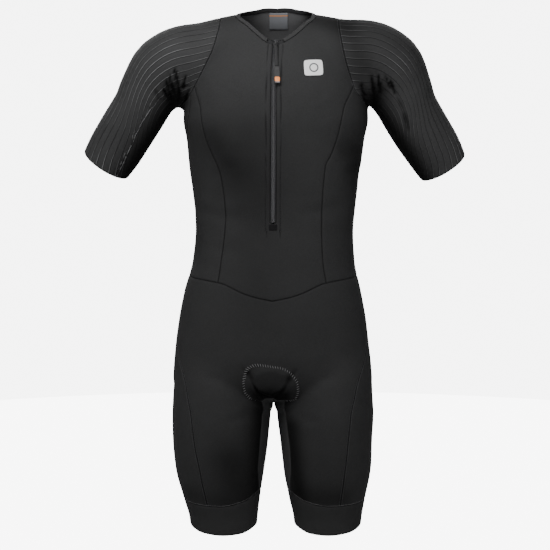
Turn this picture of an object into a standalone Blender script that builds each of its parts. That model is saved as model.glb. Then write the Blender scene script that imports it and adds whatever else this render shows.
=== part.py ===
"""Short-sleeved, half-zip triathlon suit in its worn, hollow form.

Every cut piece is a thin wall laid on one smooth figure. The figure is the blend of an
oval torso, two leg ovals and two sleeve tubes, whose sizes stand in the tables below.
Seams are curves on that figure. A piece is a grid of points between its seams, drawn
onto the figure and given its thickness inwards, with a hair gap to its neighbours.

Frame: +X to the viewer's right, +Y away from the viewer, +Z up. The origin lies between
the shoulders, level with their tops. Tables and lengths are in millimetres, and the
meshes are scaled to metres when they are made. Left and right are the viewer's.
"""

import math

import bpy
import numpy as np
from mathutils import Vector
from mathutils.bvhtree import BVHTree

METRE = 0.001

# Driving dimensions
WALL = 1.2
SEAM_GAP = 0.3
BAND_WALL = 1.6
BINDING_WIDTH = 7.0
BINDING_WALL = 2.0
BINDING_PROUD = 0.5
ZIP_SLIT_HALF = 4.6
ZIP_CHAIN_HALF = 4.1
ZIP_CHAIN_WALL = 2.4
ZIP_CHAIN_SUNK = 0.3
ZIP_TAPE_HALF = 15.0
ZIP_TAPE_WALL = 0.8
TAPE_TOP = -60.0
ZIP_BOTTOM = -357.0
ZIP_SLIT_POINT = 3.0
END_PATCH_SIZE = (14.0, 11.0)
TRIM_WALL = 0.8
BADGE_SIZE = (32.0, 27.0)
BADGE_CENTRE = (66.0, -95.0)
BADGE_TILT = math.radians(3.0)
LABEL_SIZE = (33.5, 27.5)
LABEL_OFFSET = 7.5
LABEL_DROP = 0.8
LABEL_WALL = 0.6
TRIM_GAP = 0.4
PAD_SIZE = (84.0, 48.0)
PAD_CENTRE = (-6.0, -627.0)
PAD_WALL = 5.0
SLIDER_HEIGHT = -56.0
SLIDER_LENGTH = 11.0
SLIDER_WIDE = 8.2
SLIDER_NARROW = 5.6
SLIDER_PLATE = 2.2
LUG_WIDTH = 2.2
LUG_RADIUS = 1.8
LUG_RISE = 2.2
TONGUE_LENGTH = 44.0
TONGUE_WIDTH = 6.0
TONGUE_WALL = 1.6
FORK_GAP = 0.4
FORK_DEPTH = 2.6
FORK_RISE = 1.6
GRIP_LENGTH = 32.0
GRIP_WIDTH = 10.6
GRIP_WALL = 4.0
GRIP_CORNER = 3.0
INLAY_WIDTH = 8.4
INLAY_LENGTH = 8.8
INLAY_WALL = 0.8
INLAY_FROM_END = 6.6
TAB_SWAY = math.radians(2.5)
TAB_REST = 0.6

# How far the torso, sleeve and leg forms melt into each other
SLEEVE_BLEND = 14.0
LEG_BLEND = 12.0
THIGH_BLEND = 5.0
TORSO_POWER = 2.2
LEG_POWER = 2.1

# Torso sections, top to bottom
TORSO_COLUMNS = ("height", "centre", "half", "front", "back")
TORSO = (
    (69, 4.4, 51, 32, 50),
    (25, 4.4, 53, 36, 57),
    (-2, 3.5, 62, 46, 68),
    (-37, 2.7, 96, 66, 90),
    (-73, 2.7, 129, 87, 109),
    (-108, 2.1, 149, 103, 121),
    (-143, 2.5, 159, 112, 126),
    (-179, 2.3, 162, 115, 125),
    (-214, 1.8, 156, 113, 121),
    (-267, 0.9, 150, 107, 111),
    (-320, 0.9, 143, 101, 102),
    (-373, 0.0, 139, 98, 98),
    (-427, -1.4, 143, 99, 102),
    (-480, -3.2, 156, 102, 113),
    (-533, -3.5, 166, 105, 124),
    (-586, -4.1, 172, 105, 129),
    (-632, -4.1, 174, 99, 122),
    (-657, -2.7, 156, 84, 98),
    (-666, -1.8, 110, 52, 62),
    (-673, -1.8, 39, 12, 16),
)

# Leg sections, top to bottom; the centres are distances from the middle
LEG_COLUMNS = ("height", "centre_left", "half_left", "centre_right", "half_right", "front", "back")
LEG = (
    (-450, 70, 60, 70, 60, 50, 60),
    (-550, 87, 71, 83, 71, 60, 75),
    (-604, 91, 83, 86, 83, 85, 105),
    (-657, 93, 86.5, 88, 86, 96, 113),
    (-692, 94, 87.5, 90, 86, 97, 112),
    (-745, 96, 85, 92, 82, 91, 107),
    (-798, 97, 79, 94, 78, 78, 98),
    (-851, 94, 68, 94, 68, 61, 90),
    (-887, 91, 61, 95, 61, 52, 85),
    (-958, 90, 55, 95, 55, 46, 80),
)

# Sleeve tubes from the middle of the yoke to past the cuff: the centre line and the radii
ARM_COLUMNS = ("out", "back", "height", "radius", "depth")
ARM = {
    "left": (
        (0, 6, -58, 73, 73),
        (65, 6, -67, 70, 70),
        (117, 4, -79, 70, 69),
        (154, 3, -86, 71.5, 68),
        (186, 3, -94.5, 65, 63),
        (218, 6, -127, 53.5, 56),
        (235.5, 10, -158, 49.5, 54),
        (258, 15, -193, 49.3, 51),
        (279.5, 21, -226.5, 48.6, 49),
        (301.5, 27, -261, 44.8, 44.5),
        (330, 35, -307, 43, 42),
    ),
    "right": (
        (0, 6, -58, 73, 73),
        (67, 6, -66, 70, 70),
        (120, 4, -76.5, 72, 71),
        (159, 3, -80, 74, 71),
        (192, 3, -90, 68.5, 65),
        (218.5, 6, -125, 57.7, 58),
        (235.5, 10, -159.5, 52.2, 56),
        (257, 15, -195, 51.4, 53),
        (280, 21, -229.5, 49.6, 49.5),
        (303, 27, -268, 44, 44),
        (330, 35, -312, 41, 41),
    ),
}
ARM_STEPS = 40

# Sleeve rings: where each ring meets the outer and the inner outline of the sleeve
FAN_COLUMNS = ("along", "outer_out", "outer_height", "inner_out", "inner_height")
FAN = {
    "left": (
        (0.0, 100, -7, 166.3, -153.0),
        (0.25, 187, -14, 189, -178),
        (0.5, 254, -73, 213, -212),
        (0.75, 291, -150, 236, -246),
        (1.0, 334, -234, 265, -280),
    ),
    "right": (
        (0.0, 116, -6, 169.6, -160.6),
        (0.25, 206, -8, 195, -189),
        (0.5, 263, -74, 217, -225),
        (0.75, 295, -157, 240, -257),
        (1.0, 333.6, -240, 265.6, -283.4),
    ),
}
ARM_LEAN = math.radians(14.0)
RING_CENTRE_BACK = 5.0

# The armhole seam bows towards the neck: turn from the shoulder top over the front
BOW_COLUMNS = ("turn", "left", "right")
ARMHOLE_BOW = (
    (0, 0, 0),
    (45, -13, -12),
    (74, -18, -18),
    (95, -17, -20),
    (120, -15, -20),
    (140, -12, -13),
    (160, -5, -5),
    (180, 0, 0),
    (225, -6, -6),
    (270, -12, -12),
    (315, -8, -8),
    (360, 0, 0),
)
BOW_REACH = 0.45

# Turns at which the body seams leave the armhole
FRONT_SEAM_TURN = {"left": 125.0, "right": 118.5}
SIDE_SEAM_TURN = {"left": 135.0, "right": 178.0}
UNDERARM_TURN = {"left": 180.0, "right": 178.0}

# Body seams: angle round the torso from the front, at each height
SEAM_COLUMNS = ("height", "left", "right")
FRONT_SEAM = (
    (-120, 66.5, 64.0),
    (-146, 62.0, 56.5),
    (-180, 58.8, 52.0),
    (-213, 57.5, 50.0),
    (-242, 53.0, 46.5),
    (-262, 49.0, 43.0),
    (-290, 46.5, 42.8),
    (-336, 45.5, 43.5),
    (-372, 46.3, 44.2),
    (-422, 48.3, 45.3),
    (-460, 49.0, 47.5),
)
SIDE_SEAM = (
    (-134, 70.0, 86.0),
    (-160, 71.0, 91.0),
    (-195, 76.0, 95.0),
    (-212, 82.0, 97.0),
    (-250, 95.0, 100.0),
    (-320, 105.0, 105.0),
    (-452, 112.0, 112.0),
)
BACK_LINE = (
    (-150, 92.0, 92.0),
    (-220, 104.0, 104.0),
    (-320, 118.0, 118.0),
    (-452, 126.0, 126.0),
)

# Middle of the front: the zip and the seat gap stand a little off the middle
CENTRE_COLUMNS = ("height", "place")
FRONT_CENTRE = ((-45, 2.6), (-75, 0.8), (-105, -0.8), (-151, -1.6), (-251, -2.0), (-355, -2.4),
                (-480, -4.2), (-600, -3.0), (-680, -1.0))
BACK_CENTRE = ((30, 4.4), (-37, 2.7), (-200, 1.8), (-373, 0.0), (-586, -4.1), (-680, -1.0))

# Waist seam: height at each angle round the torso from the front
WAIST_COLUMNS = ("angle", "height")
WAIST = ((0, -491), (15, -485.5), (27, -478.5), (48, -461), (78, -454), (112, -450.5), (180, -446))

# Neckline: rough places, drawn onto the figure along lines from a point inside the chest
NECK_COLUMNS = ("side", "back", "height")
NECK_POINT = (3.0, -5.0, -62.0)
NECK = {
    "left": (
        (-4, -77, -55),
        (-17, -73, -48.4),
        (-30.4, -66, -37.2),
        (-51, -51, -18),
        (-68, -28, -2.5),
        (-66, 5, 6.5),
        (-57, 30, 12),
        (-34, 53, 14.5),
        (4, 61, 14),
    ),
    "right": (
        (6, -77, -55),
        (20, -73, -48.4),
        (38, -66, -36.2),
        (59, -50, -16.3),
        (74, -28, -1),
        (74, 5, 8.5),
        (65, 30, 13.5),
        (42, 53, 15),
        (4, 61, 14),
    ),
}
NECK_SIDE_SHARE = 0.56
BINDING_START = 0.055

# Leg seams: angle round the leg from its front, outwards positive, at each height
OUTER_SEAM = (
    (-450, 130, 130),
    (-490, 114, 114),
    (-530, 96, 95),
    (-560, 79, 77),
    (-594, 62.4, 59),
    (-640, 42, 37),
    (-661, 37.4, 32),
    (-690, 32, 26),
    (-747, 27.4, 22.5),
    (-800, 23.3, 20.6),
    (-860, 22.6, 20.4),
)
INNER_FRONT_SEAM = (
    (-655, -43, -43),
    (-690, -51.5, -50),
    (-745, -53, -49.5),
    (-790, -57, -54),
    (-840, -74, -70),
)
INNER_BACK_SEAM = ((-655, -138, -138), (-745, -130, -130), (-840, -118, -118))
BACK_RAIL = ((-450, 160, 160), (-550, 160, 160), (-640, 160, 160), (-860, 165, 165))
CROTCH_FRONT = -659.0
CROTCH_BACK = -660.0
CROTCH_START = -640.0
INNER_TOP = -662.0
INNER_TOP_BACK = -664.0
CROTCH_EASE = 1.5

# Leg band and hem: height at each angle round the leg from its front, outwards positive
RING_COLUMNS = ("angle", "band", "hem")
LEG_RINGS = (
    (-180, -846, -895),
    (-130, -839, -895),
    (-75, -835, -899),
    (-36, -849.5, -908),
    (0, -856.5, -910),
    (40, -855, -907),
    (80, -851, -899),
    (130, -848, -896),
    (180, -846, -895),
)

# Grid counts
SHOULDER_STEPS = 2
NECK_DOWN_STEPS = 2
NECK_OVER_STEPS = 5
ARMHOLE_STEPS = 6
SIDE_STEPS = 4
UNDERARM_STEPS = {"left": 2, "right": 0}
BACK_ARMHOLE_STEPS = 10
BODY_STEPS = 9
ZIP_STEPS = 11
SLEEVE_STEPS = 9
HIP_STEPS = 8
GUSSET_STEPS = 2
LEG_STEPS = 5
BAND_STEPS = 2
CROTCH_STEPS = 5

SIDES = ("left", "right")
SIGN = {"left": -1.0, "right": 1.0}

FABRIC = ((0.022, 0.023, 0.026), 0.62, 0.0)
SLEEVE_FABRIC = ((0.03, 0.031, 0.034), 0.55, 0.0)
BAND_FABRIC = ((0.018, 0.018, 0.02), 0.7, 0.0)
BINDING_ELASTIC = ((0.09, 0.09, 0.095), 0.6, 0.0)
ZIP_FABRIC = ((0.02, 0.02, 0.022), 0.6, 0.0)
ZIP_NYLON = ((0.05, 0.05, 0.055), 0.4, 0.0)
ZIP_METAL = ((0.08, 0.08, 0.085), 0.35, 1.0)
RUBBER = ((0.03, 0.03, 0.032), 0.5, 0.0)
SIGNAL_ORANGE = ((0.9, 0.36, 0.04), 0.45, 0.0)
LABEL_SATIN = ((0.36, 0.37, 0.39), 0.4, 0.0)
PAD_FOAM = ((0.03, 0.03, 0.032), 0.8, 0.0)
BADGE_WHITE = ((0.85, 0.85, 0.85), 0.4, 0.0)


# ---------------------------------------------------------------- tables and curves

def column(table, columns, name):
    """One named column of a table, as an array."""
    place = columns.index(name)
    return np.array([row[place] for row in table], float)


def through(stations, values, at):
    """Smooth curve through a table that never swings past its rows."""
    stations, values = np.asarray(stations, float), np.asarray(values, float)
    if stations[0] > stations[-1]:
        stations, values = stations[::-1], values[::-1]
    slopes = np.diff(values) / np.diff(stations)
    total = slopes[:-1] + slopes[1:]
    same_way = slopes[:-1] * slopes[1:] > 0
    tangents = np.empty_like(values)
    tangents[1:-1] = np.where(same_way, 2 * slopes[:-1] * slopes[1:] / np.where(total == 0, 1, total), 0)
    tangents[0], tangents[-1] = slopes[0], slopes[-1]
    at = np.clip(at, stations[0], stations[-1])
    low = np.clip(np.searchsorted(stations, at) - 1, 0, len(stations) - 2)
    width = stations[low + 1] - stations[low]
    share = (at - stations[low]) / width
    rest = 1 - share
    ends = (1 + 2 * share) * rest ** 2 * values[low] + share ** 2 * (3 - 2 * share) * values[low + 1]
    return ends + share * rest * width * (rest * tangents[low] - share * tangents[low + 1])


def table_at(table, columns, name, at):
    """A table's named column, read smoothly at places in its first column."""
    return through(column(table, columns, columns[0]), column(table, columns, name), at)


def spread(first, last, steps):
    """Evenly spaced values from first to last."""
    return np.linspace(first, last, steps + 1)


def curve_through(points, shares):
    """Points at shares of the length of a smooth curve through rough points."""
    points = np.asarray(points, float)
    lengths = np.concatenate([[0], np.cumsum(np.linalg.norm(np.diff(points, axis=0), axis=1))])
    at = np.asarray(shares) * lengths[-1]
    return np.stack([through(lengths, points[:, axis], at) for axis in range(3)], axis=1)


# ---------------------------------------------------------------- the figure

def blend(one, other, reach):
    """Smaller of two distances, rounded over where they are within reach."""
    near = np.maximum(reach - np.abs(one - other), 0) / reach
    return np.minimum(one, other) - near ** 3 * reach / 6


def oval(across, depth, half, front, back, power):
    """Rough distance to an oval section with its own front and back depth."""
    reach = np.where(depth < 0, front, back)
    size = ((np.abs(across) / half) ** power + (np.abs(depth) / reach) ** power) ** (1 / power)
    distance = np.hypot(across, depth)
    return distance - distance / np.maximum(size, 1e-6)


def torso_field(points):
    """Distance to the torso, closed off under the crotch."""
    height = points[:, 2]
    centre, half, front, back = (table_at(TORSO, TORSO_COLUMNS, name, height) for name in TORSO_COLUMNS[1:])
    side = oval(points[:, 0] - centre, points[:, 1], half, front, back, TORSO_POWER)
    return np.maximum(side, TORSO[-1][0] - height)


def leg_field(points, side):
    """Distance to one leg, closed off above the hip."""
    height = points[:, 2]
    centre = SIGN[side] * table_at(LEG, LEG_COLUMNS, "centre_" + side, height)
    half = table_at(LEG, LEG_COLUMNS, "half_" + side, height)
    front = table_at(LEG, LEG_COLUMNS, "front", height)
    back = table_at(LEG, LEG_COLUMNS, "back", height)
    wall = oval(points[:, 0] - centre, points[:, 1], half, front, back, LEG_POWER)
    return np.maximum(wall, height - LEG[1][0])


def arm_axis(side):
    """Centre line, radius and depth ratio of one sleeve tube, in small steps."""
    rows = np.arange(len(ARM[side]))
    at = np.linspace(0, rows[-1], ARM_STEPS + 1)
    read = {name: through(rows, column(ARM[side], ARM_COLUMNS, name), at) for name in ARM_COLUMNS}
    line = np.stack([SIGN[side] * read["out"], read["back"], read["height"]], axis=1)
    return line, read["radius"], read["depth"] / read["radius"]


ARM_AXES = {side: arm_axis(side) for side in SIDES}


def arm_field(points, side):
    """Distance to one sleeve tube: the nearest of its short tapered lengths."""
    line, radius, depth = ARM_AXES[side]
    best = np.full(len(points), 1e9)
    for step in range(ARM_STEPS):
        run = line[step + 1] - line[step]
        offset = points - line[step]
        share = np.clip(offset @ run / (run @ run), 0, 1)
        away = offset - share[:, None] * run
        away[:, 1] /= depth[step] + share * (depth[step + 1] - depth[step])
        reach = radius[step] + share * (radius[step + 1] - radius[step])
        best = np.minimum(best, np.linalg.norm(away, axis=1) - reach)
    return best


def figure(points):
    """Signed field of the whole figure: negative inside, zero on the cloth."""
    left = points[:, 0] < 0
    arms = np.empty(len(points))
    arms[left] = arm_field(points[left], "left")
    arms[~left] = arm_field(points[~left], "right")
    legs = blend(leg_field(points, "left"), leg_field(points, "right"), THIGH_BLEND)
    return blend(blend(torso_field(points), arms, SLEEVE_BLEND), legs, LEG_BLEND)


def slope(points):
    """Gradient of the figure's field."""
    reach = 0.2
    parts = []
    for axis in np.eye(3):
        parts.append((figure(points + reach * axis) - figure(points - reach * axis)) / (2 * reach))
    return np.stack(parts, axis=1)


def normals(points):
    """Outward unit normals of the figure."""
    steep = slope(points)
    return steep / np.linalg.norm(steep, axis=1)[:, None]


def settle(points, rounds=10, longest=8.0):
    """Points moved along the slope onto the figure."""
    flat = np.array(points, float).reshape(-1, 3)
    for _ in range(rounds):
        steep = slope(flat)
        move = -figure(flat)[:, None] * steep / np.maximum((steep ** 2).sum(axis=1), 0.05)[:, None]
        length = np.linalg.norm(move, axis=1)[:, None]
        flat += move * np.minimum(1, longest / np.maximum(length, 1e-9))
    return flat.reshape(np.shape(points))


def hit(origins, directions, reach=280.0, step=4.0, halvings=24):
    """First places where lines from inside the figure leave it."""
    origins = np.asarray(origins, float)
    directions = np.asarray(directions, float)
    directions = directions / np.linalg.norm(directions, axis=1)[:, None]
    distances = np.arange(0, reach, step)
    samples = origins[:, None, :] + directions[:, None, :] * distances[None, :, None]
    outside = figure(samples.reshape(-1, 3)).reshape(len(origins), -1) > 0
    first = np.maximum(outside.argmax(axis=1), 1)
    low, high = distances[first - 1], distances[first]
    for _ in range(halvings):
        middle = (low + high) / 2
        out = figure(origins + directions * middle[:, None]) > 0
        low, high = np.where(out, low, middle), np.where(out, middle, high)
    return origins + directions * ((low + high) / 2)[:, None]


def at_torso_angle(side, angles, heights):
    """Places on the torso at angles from the front, on one side, at heights."""
    turn = np.radians(angles)
    heights = np.asarray(heights, float)
    centre = table_at(TORSO, TORSO_COLUMNS, "centre", heights)
    origins = np.stack([centre, np.zeros_like(heights), heights], axis=1)
    level = np.zeros_like(heights)
    return hit(origins, np.stack([SIGN[side] * np.sin(turn), -np.cos(turn), level], axis=1))


def leg_centre(side, heights):
    """Middle of a leg across the figure, at heights."""
    return SIGN[side] * table_at(LEG, LEG_COLUMNS, "centre_" + side, heights)


def at_leg_angle(side, angles, heights):
    """Places on a leg at angles from its front, outwards positive, at heights."""
    turn = np.radians(angles)
    heights = np.asarray(heights, float)
    level = np.zeros_like(heights)
    origins = np.stack([leg_centre(side, heights), level, heights], axis=1)
    return hit(origins, np.stack([SIGN[side] * np.sin(turn), -np.cos(turn), level], axis=1))


def at_middle(table, heights, way):
    """Places on the front (way -1) or back (way +1) along a line near the middle."""
    heights = np.asarray(heights, float)
    place = table_at(table, CENTRE_COLUMNS, "place", heights)
    level = np.zeros_like(heights)
    origins = np.stack([place, level, heights], axis=1)
    return hit(origins, np.stack([level, level + way, level], axis=1))


# ---------------------------------------------------------------- seams

def fan_frame(side, along):
    """Centre, up, forward and along directions of the sleeve ring at a share of the way."""
    read = {name: table_at(FAN[side], FAN_COLUMNS, name, along) for name in FAN_COLUMNS[1:]}
    outer = np.array([SIGN[side] * read["outer_out"], read["outer_height"]])
    inner = np.array([SIGN[side] * read["inner_out"], read["inner_height"]])
    rise = (outer - inner) / np.linalg.norm(outer - inner)
    axis_line, _, _ = ARM_AXES[side]
    middle = (outer + inner) / 2
    nearest = np.argmin(np.linalg.norm(axis_line[:, [0, 2]] - middle, axis=1))
    depth = RING_CENTRE_BACK * (1 - along) + axis_line[nearest, 1] * along
    centre = np.array([middle[0], depth, middle[1]])
    up = np.array([rise[0], 0, rise[1]])
    onward = SIGN[side] * np.array([rise[1], 0, -rise[0]])
    lean = ARM_LEAN * along
    forward = np.array([0, -math.cos(lean), 0]) + math.sin(lean) * onward
    return centre, up, forward, onward


def sleeve_ring(side, along, turns):
    """Places round a sleeve at turns from its top over the front."""
    centre, up, forward, onward = fan_frame(side, along)
    bow = table_at(ARMHOLE_BOW, BOW_COLUMNS, side, turns) * max(0.0, 1 - along / BOW_REACH) ** 2
    turn = np.radians(turns)
    origins = centre + bow[:, None] * onward
    return hit(origins, np.cos(turn)[:, None] * up + np.sin(turn)[:, None] * forward)


def armhole_turns(side):
    """Turns of the armhole's points: front, side panel, underarm and back runs."""
    front = spread(0, FRONT_SEAM_TURN[side], ARMHOLE_STEPS)
    across = spread(FRONT_SEAM_TURN[side], SIDE_SEAM_TURN[side], SIDE_STEPS)[1:]
    under = spread(SIDE_SEAM_TURN[side], UNDERARM_TURN[side], max(UNDERARM_STEPS[side], 1))[1:]
    rear = spread(UNDERARM_TURN[side], 360, BACK_ARMHOLE_STEPS)[1:]
    runs = [front, across, rear] if UNDERARM_STEPS[side] == 0 else [front, across, under, rear]
    return np.concatenate(runs)


def waist_points(side, angles):
    """Places on the waist seam at angles from the front."""
    return at_torso_angle(side, angles, table_at(WAIST, WAIST_COLUMNS, "height", angles))


def waist_angle(seam, side):
    """Angle at which a body seam meets the waist seam."""
    angle = 60.0
    for _ in range(12):
        height = table_at(WAIST, WAIST_COLUMNS, "height", angle)
        angle = float(table_at(seam, SEAM_COLUMNS, side, height))
    return angle


def body_seam(seam, side, start):
    """Seam down the body from a point on the armhole to the waist seam."""
    last = waist_angle(seam, side)
    foot = table_at(WAIST, WAIST_COLUMNS, "height", last)
    heights = spread(start[2], foot, BODY_STEPS)[1:]
    angles = table_at(seam, SEAM_COLUMNS, side, heights)
    angles[-1] = last
    return np.vstack([start, at_torso_angle(side, angles, heights)])


def neck_curve(side, shares):
    """Places on the neckline seam from the zip round to the middle of the back."""
    rough = curve_through(NECK[side], shares)
    origin = np.array(NECK_POINT)
    return hit(np.tile(origin, (len(rough), 1)), rough - origin)


def leg_seam(table, side, heights):
    """Places on a leg seam at heights."""
    return at_leg_angle(side, table_at(table, SEAM_COLUMNS, side, heights), heights)


def ring_height(kind, angle):
    """Height of the band seam or the hem at an angle round the leg."""
    return table_at(LEG_RINGS, RING_COLUMNS, kind, angle)


def band_meeting(table, side):
    """Angle at which a leg seam meets the band seam."""
    angle = float(table_at(table, SEAM_COLUMNS, side, LEG_RINGS[0][1]))
    for _ in range(12):
        angle = float(table_at(table, SEAM_COLUMNS, side, ring_height("band", angle)))
    return angle


def leg_seam_down(table, side, top, steps):
    """Leg seam from a height down to the band seam."""
    last = band_meeting(table, side)
    heights = spread(top, ring_height("band", last), steps)
    angles = table_at(table, SEAM_COLUMNS, side, heights)
    angles[-1] = last
    return at_leg_angle(side, angles, heights)


def run_between(one, other, steps):
    """Straight run between two points, settled onto the figure."""
    run = one + spread(0, 1, steps)[:, None] * (other - one)
    run[1:-1] = settle(run[1:-1])
    return run


def patch(top, bottom, left, right):
    """Grid filled between four edges, rows from top to bottom, drawn onto the figure."""
    rows, columns = len(left), len(top)
    down = np.linspace(0, 1, rows)[:, None, None]
    over = np.linspace(0, 1, columns)[None, :, None]
    ruled_down = (1 - down) * top[None] + down * bottom[None]
    ruled_over = (1 - over) * left[:, None] + over * right[:, None]
    corners = (1 - down) * ((1 - over) * top[0] + over * top[-1])
    corners = corners + down * ((1 - over) * bottom[0] + over * bottom[-1])
    grid = ruled_down + ruled_over - corners
    grid[1:-1, 1:-1] = settle(grid[1:-1, 1:-1])
    grid[0], grid[-1], grid[:, 0], grid[:, -1] = top, bottom, left, right
    return grid


# ---------------------------------------------------------------- walls

def weld(grids):
    """Points and outward quads of grids whose shared edges hold the same points."""
    points, index, faces = [], {}, []
    for grid in grids:
        rows, columns = grid.shape[:2]
        keys = np.empty((rows, columns), int)
        for row in range(rows):
            for place in range(columns):
                key = tuple(np.round(grid[row, place], 4))
                if key not in index:
                    index[key] = len(points)
                    points.append(grid[row, place])
                keys[row, place] = index[key]
        quads = []
        for row in range(rows - 1):
            for place in range(columns - 1):
                quad = (keys[row, place], keys[row + 1, place], keys[row + 1, place + 1], keys[row, place + 1])
                quads.append(quad)
        faces += face_outward(np.array(points), quads)
    return np.array(points), faces


def face_outward(points, faces):
    """Faces all turned one way, so that most run anticlockwise seen from outside."""
    outward = normals(points)
    votes = 0
    for face in faces:
        one, two, three, four = (points[corner] for corner in face)
        facing = np.cross(three - one, four - two)
        votes += 1 if facing @ outward[list(face)].sum(axis=0) > 0 else -1
    return faces if votes > 0 else [face[::-1] for face in faces]


def split(points, faces):
    """Quads cut into triangles along their shorter diagonals."""
    triangles = []
    for one, two, three, four in faces:
        if np.linalg.norm(points[one] - points[three]) <= np.linalg.norm(points[two] - points[four]):
            triangles += [(one, two, three), (one, three, four)]
        else:
            triangles += [(two, three, four), (two, four, one)]
    return triangles


def border_edges(faces):
    """Edges used by one face only, in that face's own direction."""
    edges = {}
    for face in faces:
        for one, two in zip(face, face[1:] + face[:1]):
            edges[(one, two)] = True
    return [edge for edge in edges if (edge[1], edge[0]) not in edges]


def draw_in(points, edges, outward, distance):
    """Border points moved inside their piece by a distance."""
    aims = {}
    for one, two in edges:
        run = points[two] - points[one]
        inward = np.cross(outward[one] + outward[two], run)
        inward /= np.linalg.norm(inward)
        aims.setdefault(one, []).append(inward)
        aims.setdefault(two, []).append(inward)
    moved = points.copy()
    for place, ways in aims.items():
        total = np.sum(ways, axis=0)
        if len(ways) == 2:
            total /= max(1 + ways[0] @ ways[1], 0.35)
        moved[place] += distance * total
    return moved


def finish_material(name, finish):
    """Material with the colour, roughness and metallic value of one finish."""
    colour, roughness, metallic = finish
    material = bpy.data.materials.new(name)
    material.use_nodes = True
    shader = material.node_tree.nodes["Principled BSDF"]
    shader.inputs["Base Color"].default_value = (*colour, 1)
    shader.inputs["Roughness"].default_value = roughness
    shader.inputs["Metallic"].default_value = metallic
    material.diffuse_color = (*colour, 1)
    return material


def add_object(name, points, faces, finish):
    """Object made of points in millimetres and faces, in its own material."""
    mesh = bpy.data.meshes.new(name)
    mesh.from_pydata((np.asarray(points) * METRE).tolist(), [], [list(map(int, face)) for face in faces])
    mesh.validate()
    mesh.update()
    mesh.shade_smooth()
    mesh.set_sharp_from_angle(angle=math.radians(40))
    mesh.materials.append(finish_material(name, finish))
    piece = bpy.data.objects.new(name, mesh)
    bpy.context.scene.collection.objects.link(piece)
    return piece


def cloth(name, grids, finish, wall=WALL, proud=0.0, inset=SEAM_GAP / 2):
    """Closed wall over grids on the figure, its face standing proud by a distance."""
    points, faces = weld(grids)
    faces = split(points, faces)
    outward = normals(points)
    edges = border_edges(faces)
    points = draw_in(points, edges, outward, inset)
    outward = normals(points)
    count = len(points)
    shell = np.vstack([points + proud * outward, points + (proud - wall) * outward])
    inner = [tuple(corner + count for corner in face[::-1]) for face in faces]
    rim = split(shell, [(two, one, one + count, two + count) for one, two in edges])
    return add_object(name, shell, faces + inner + rim, finish)


# ---------------------------------------------------------------- cut pieces

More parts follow.
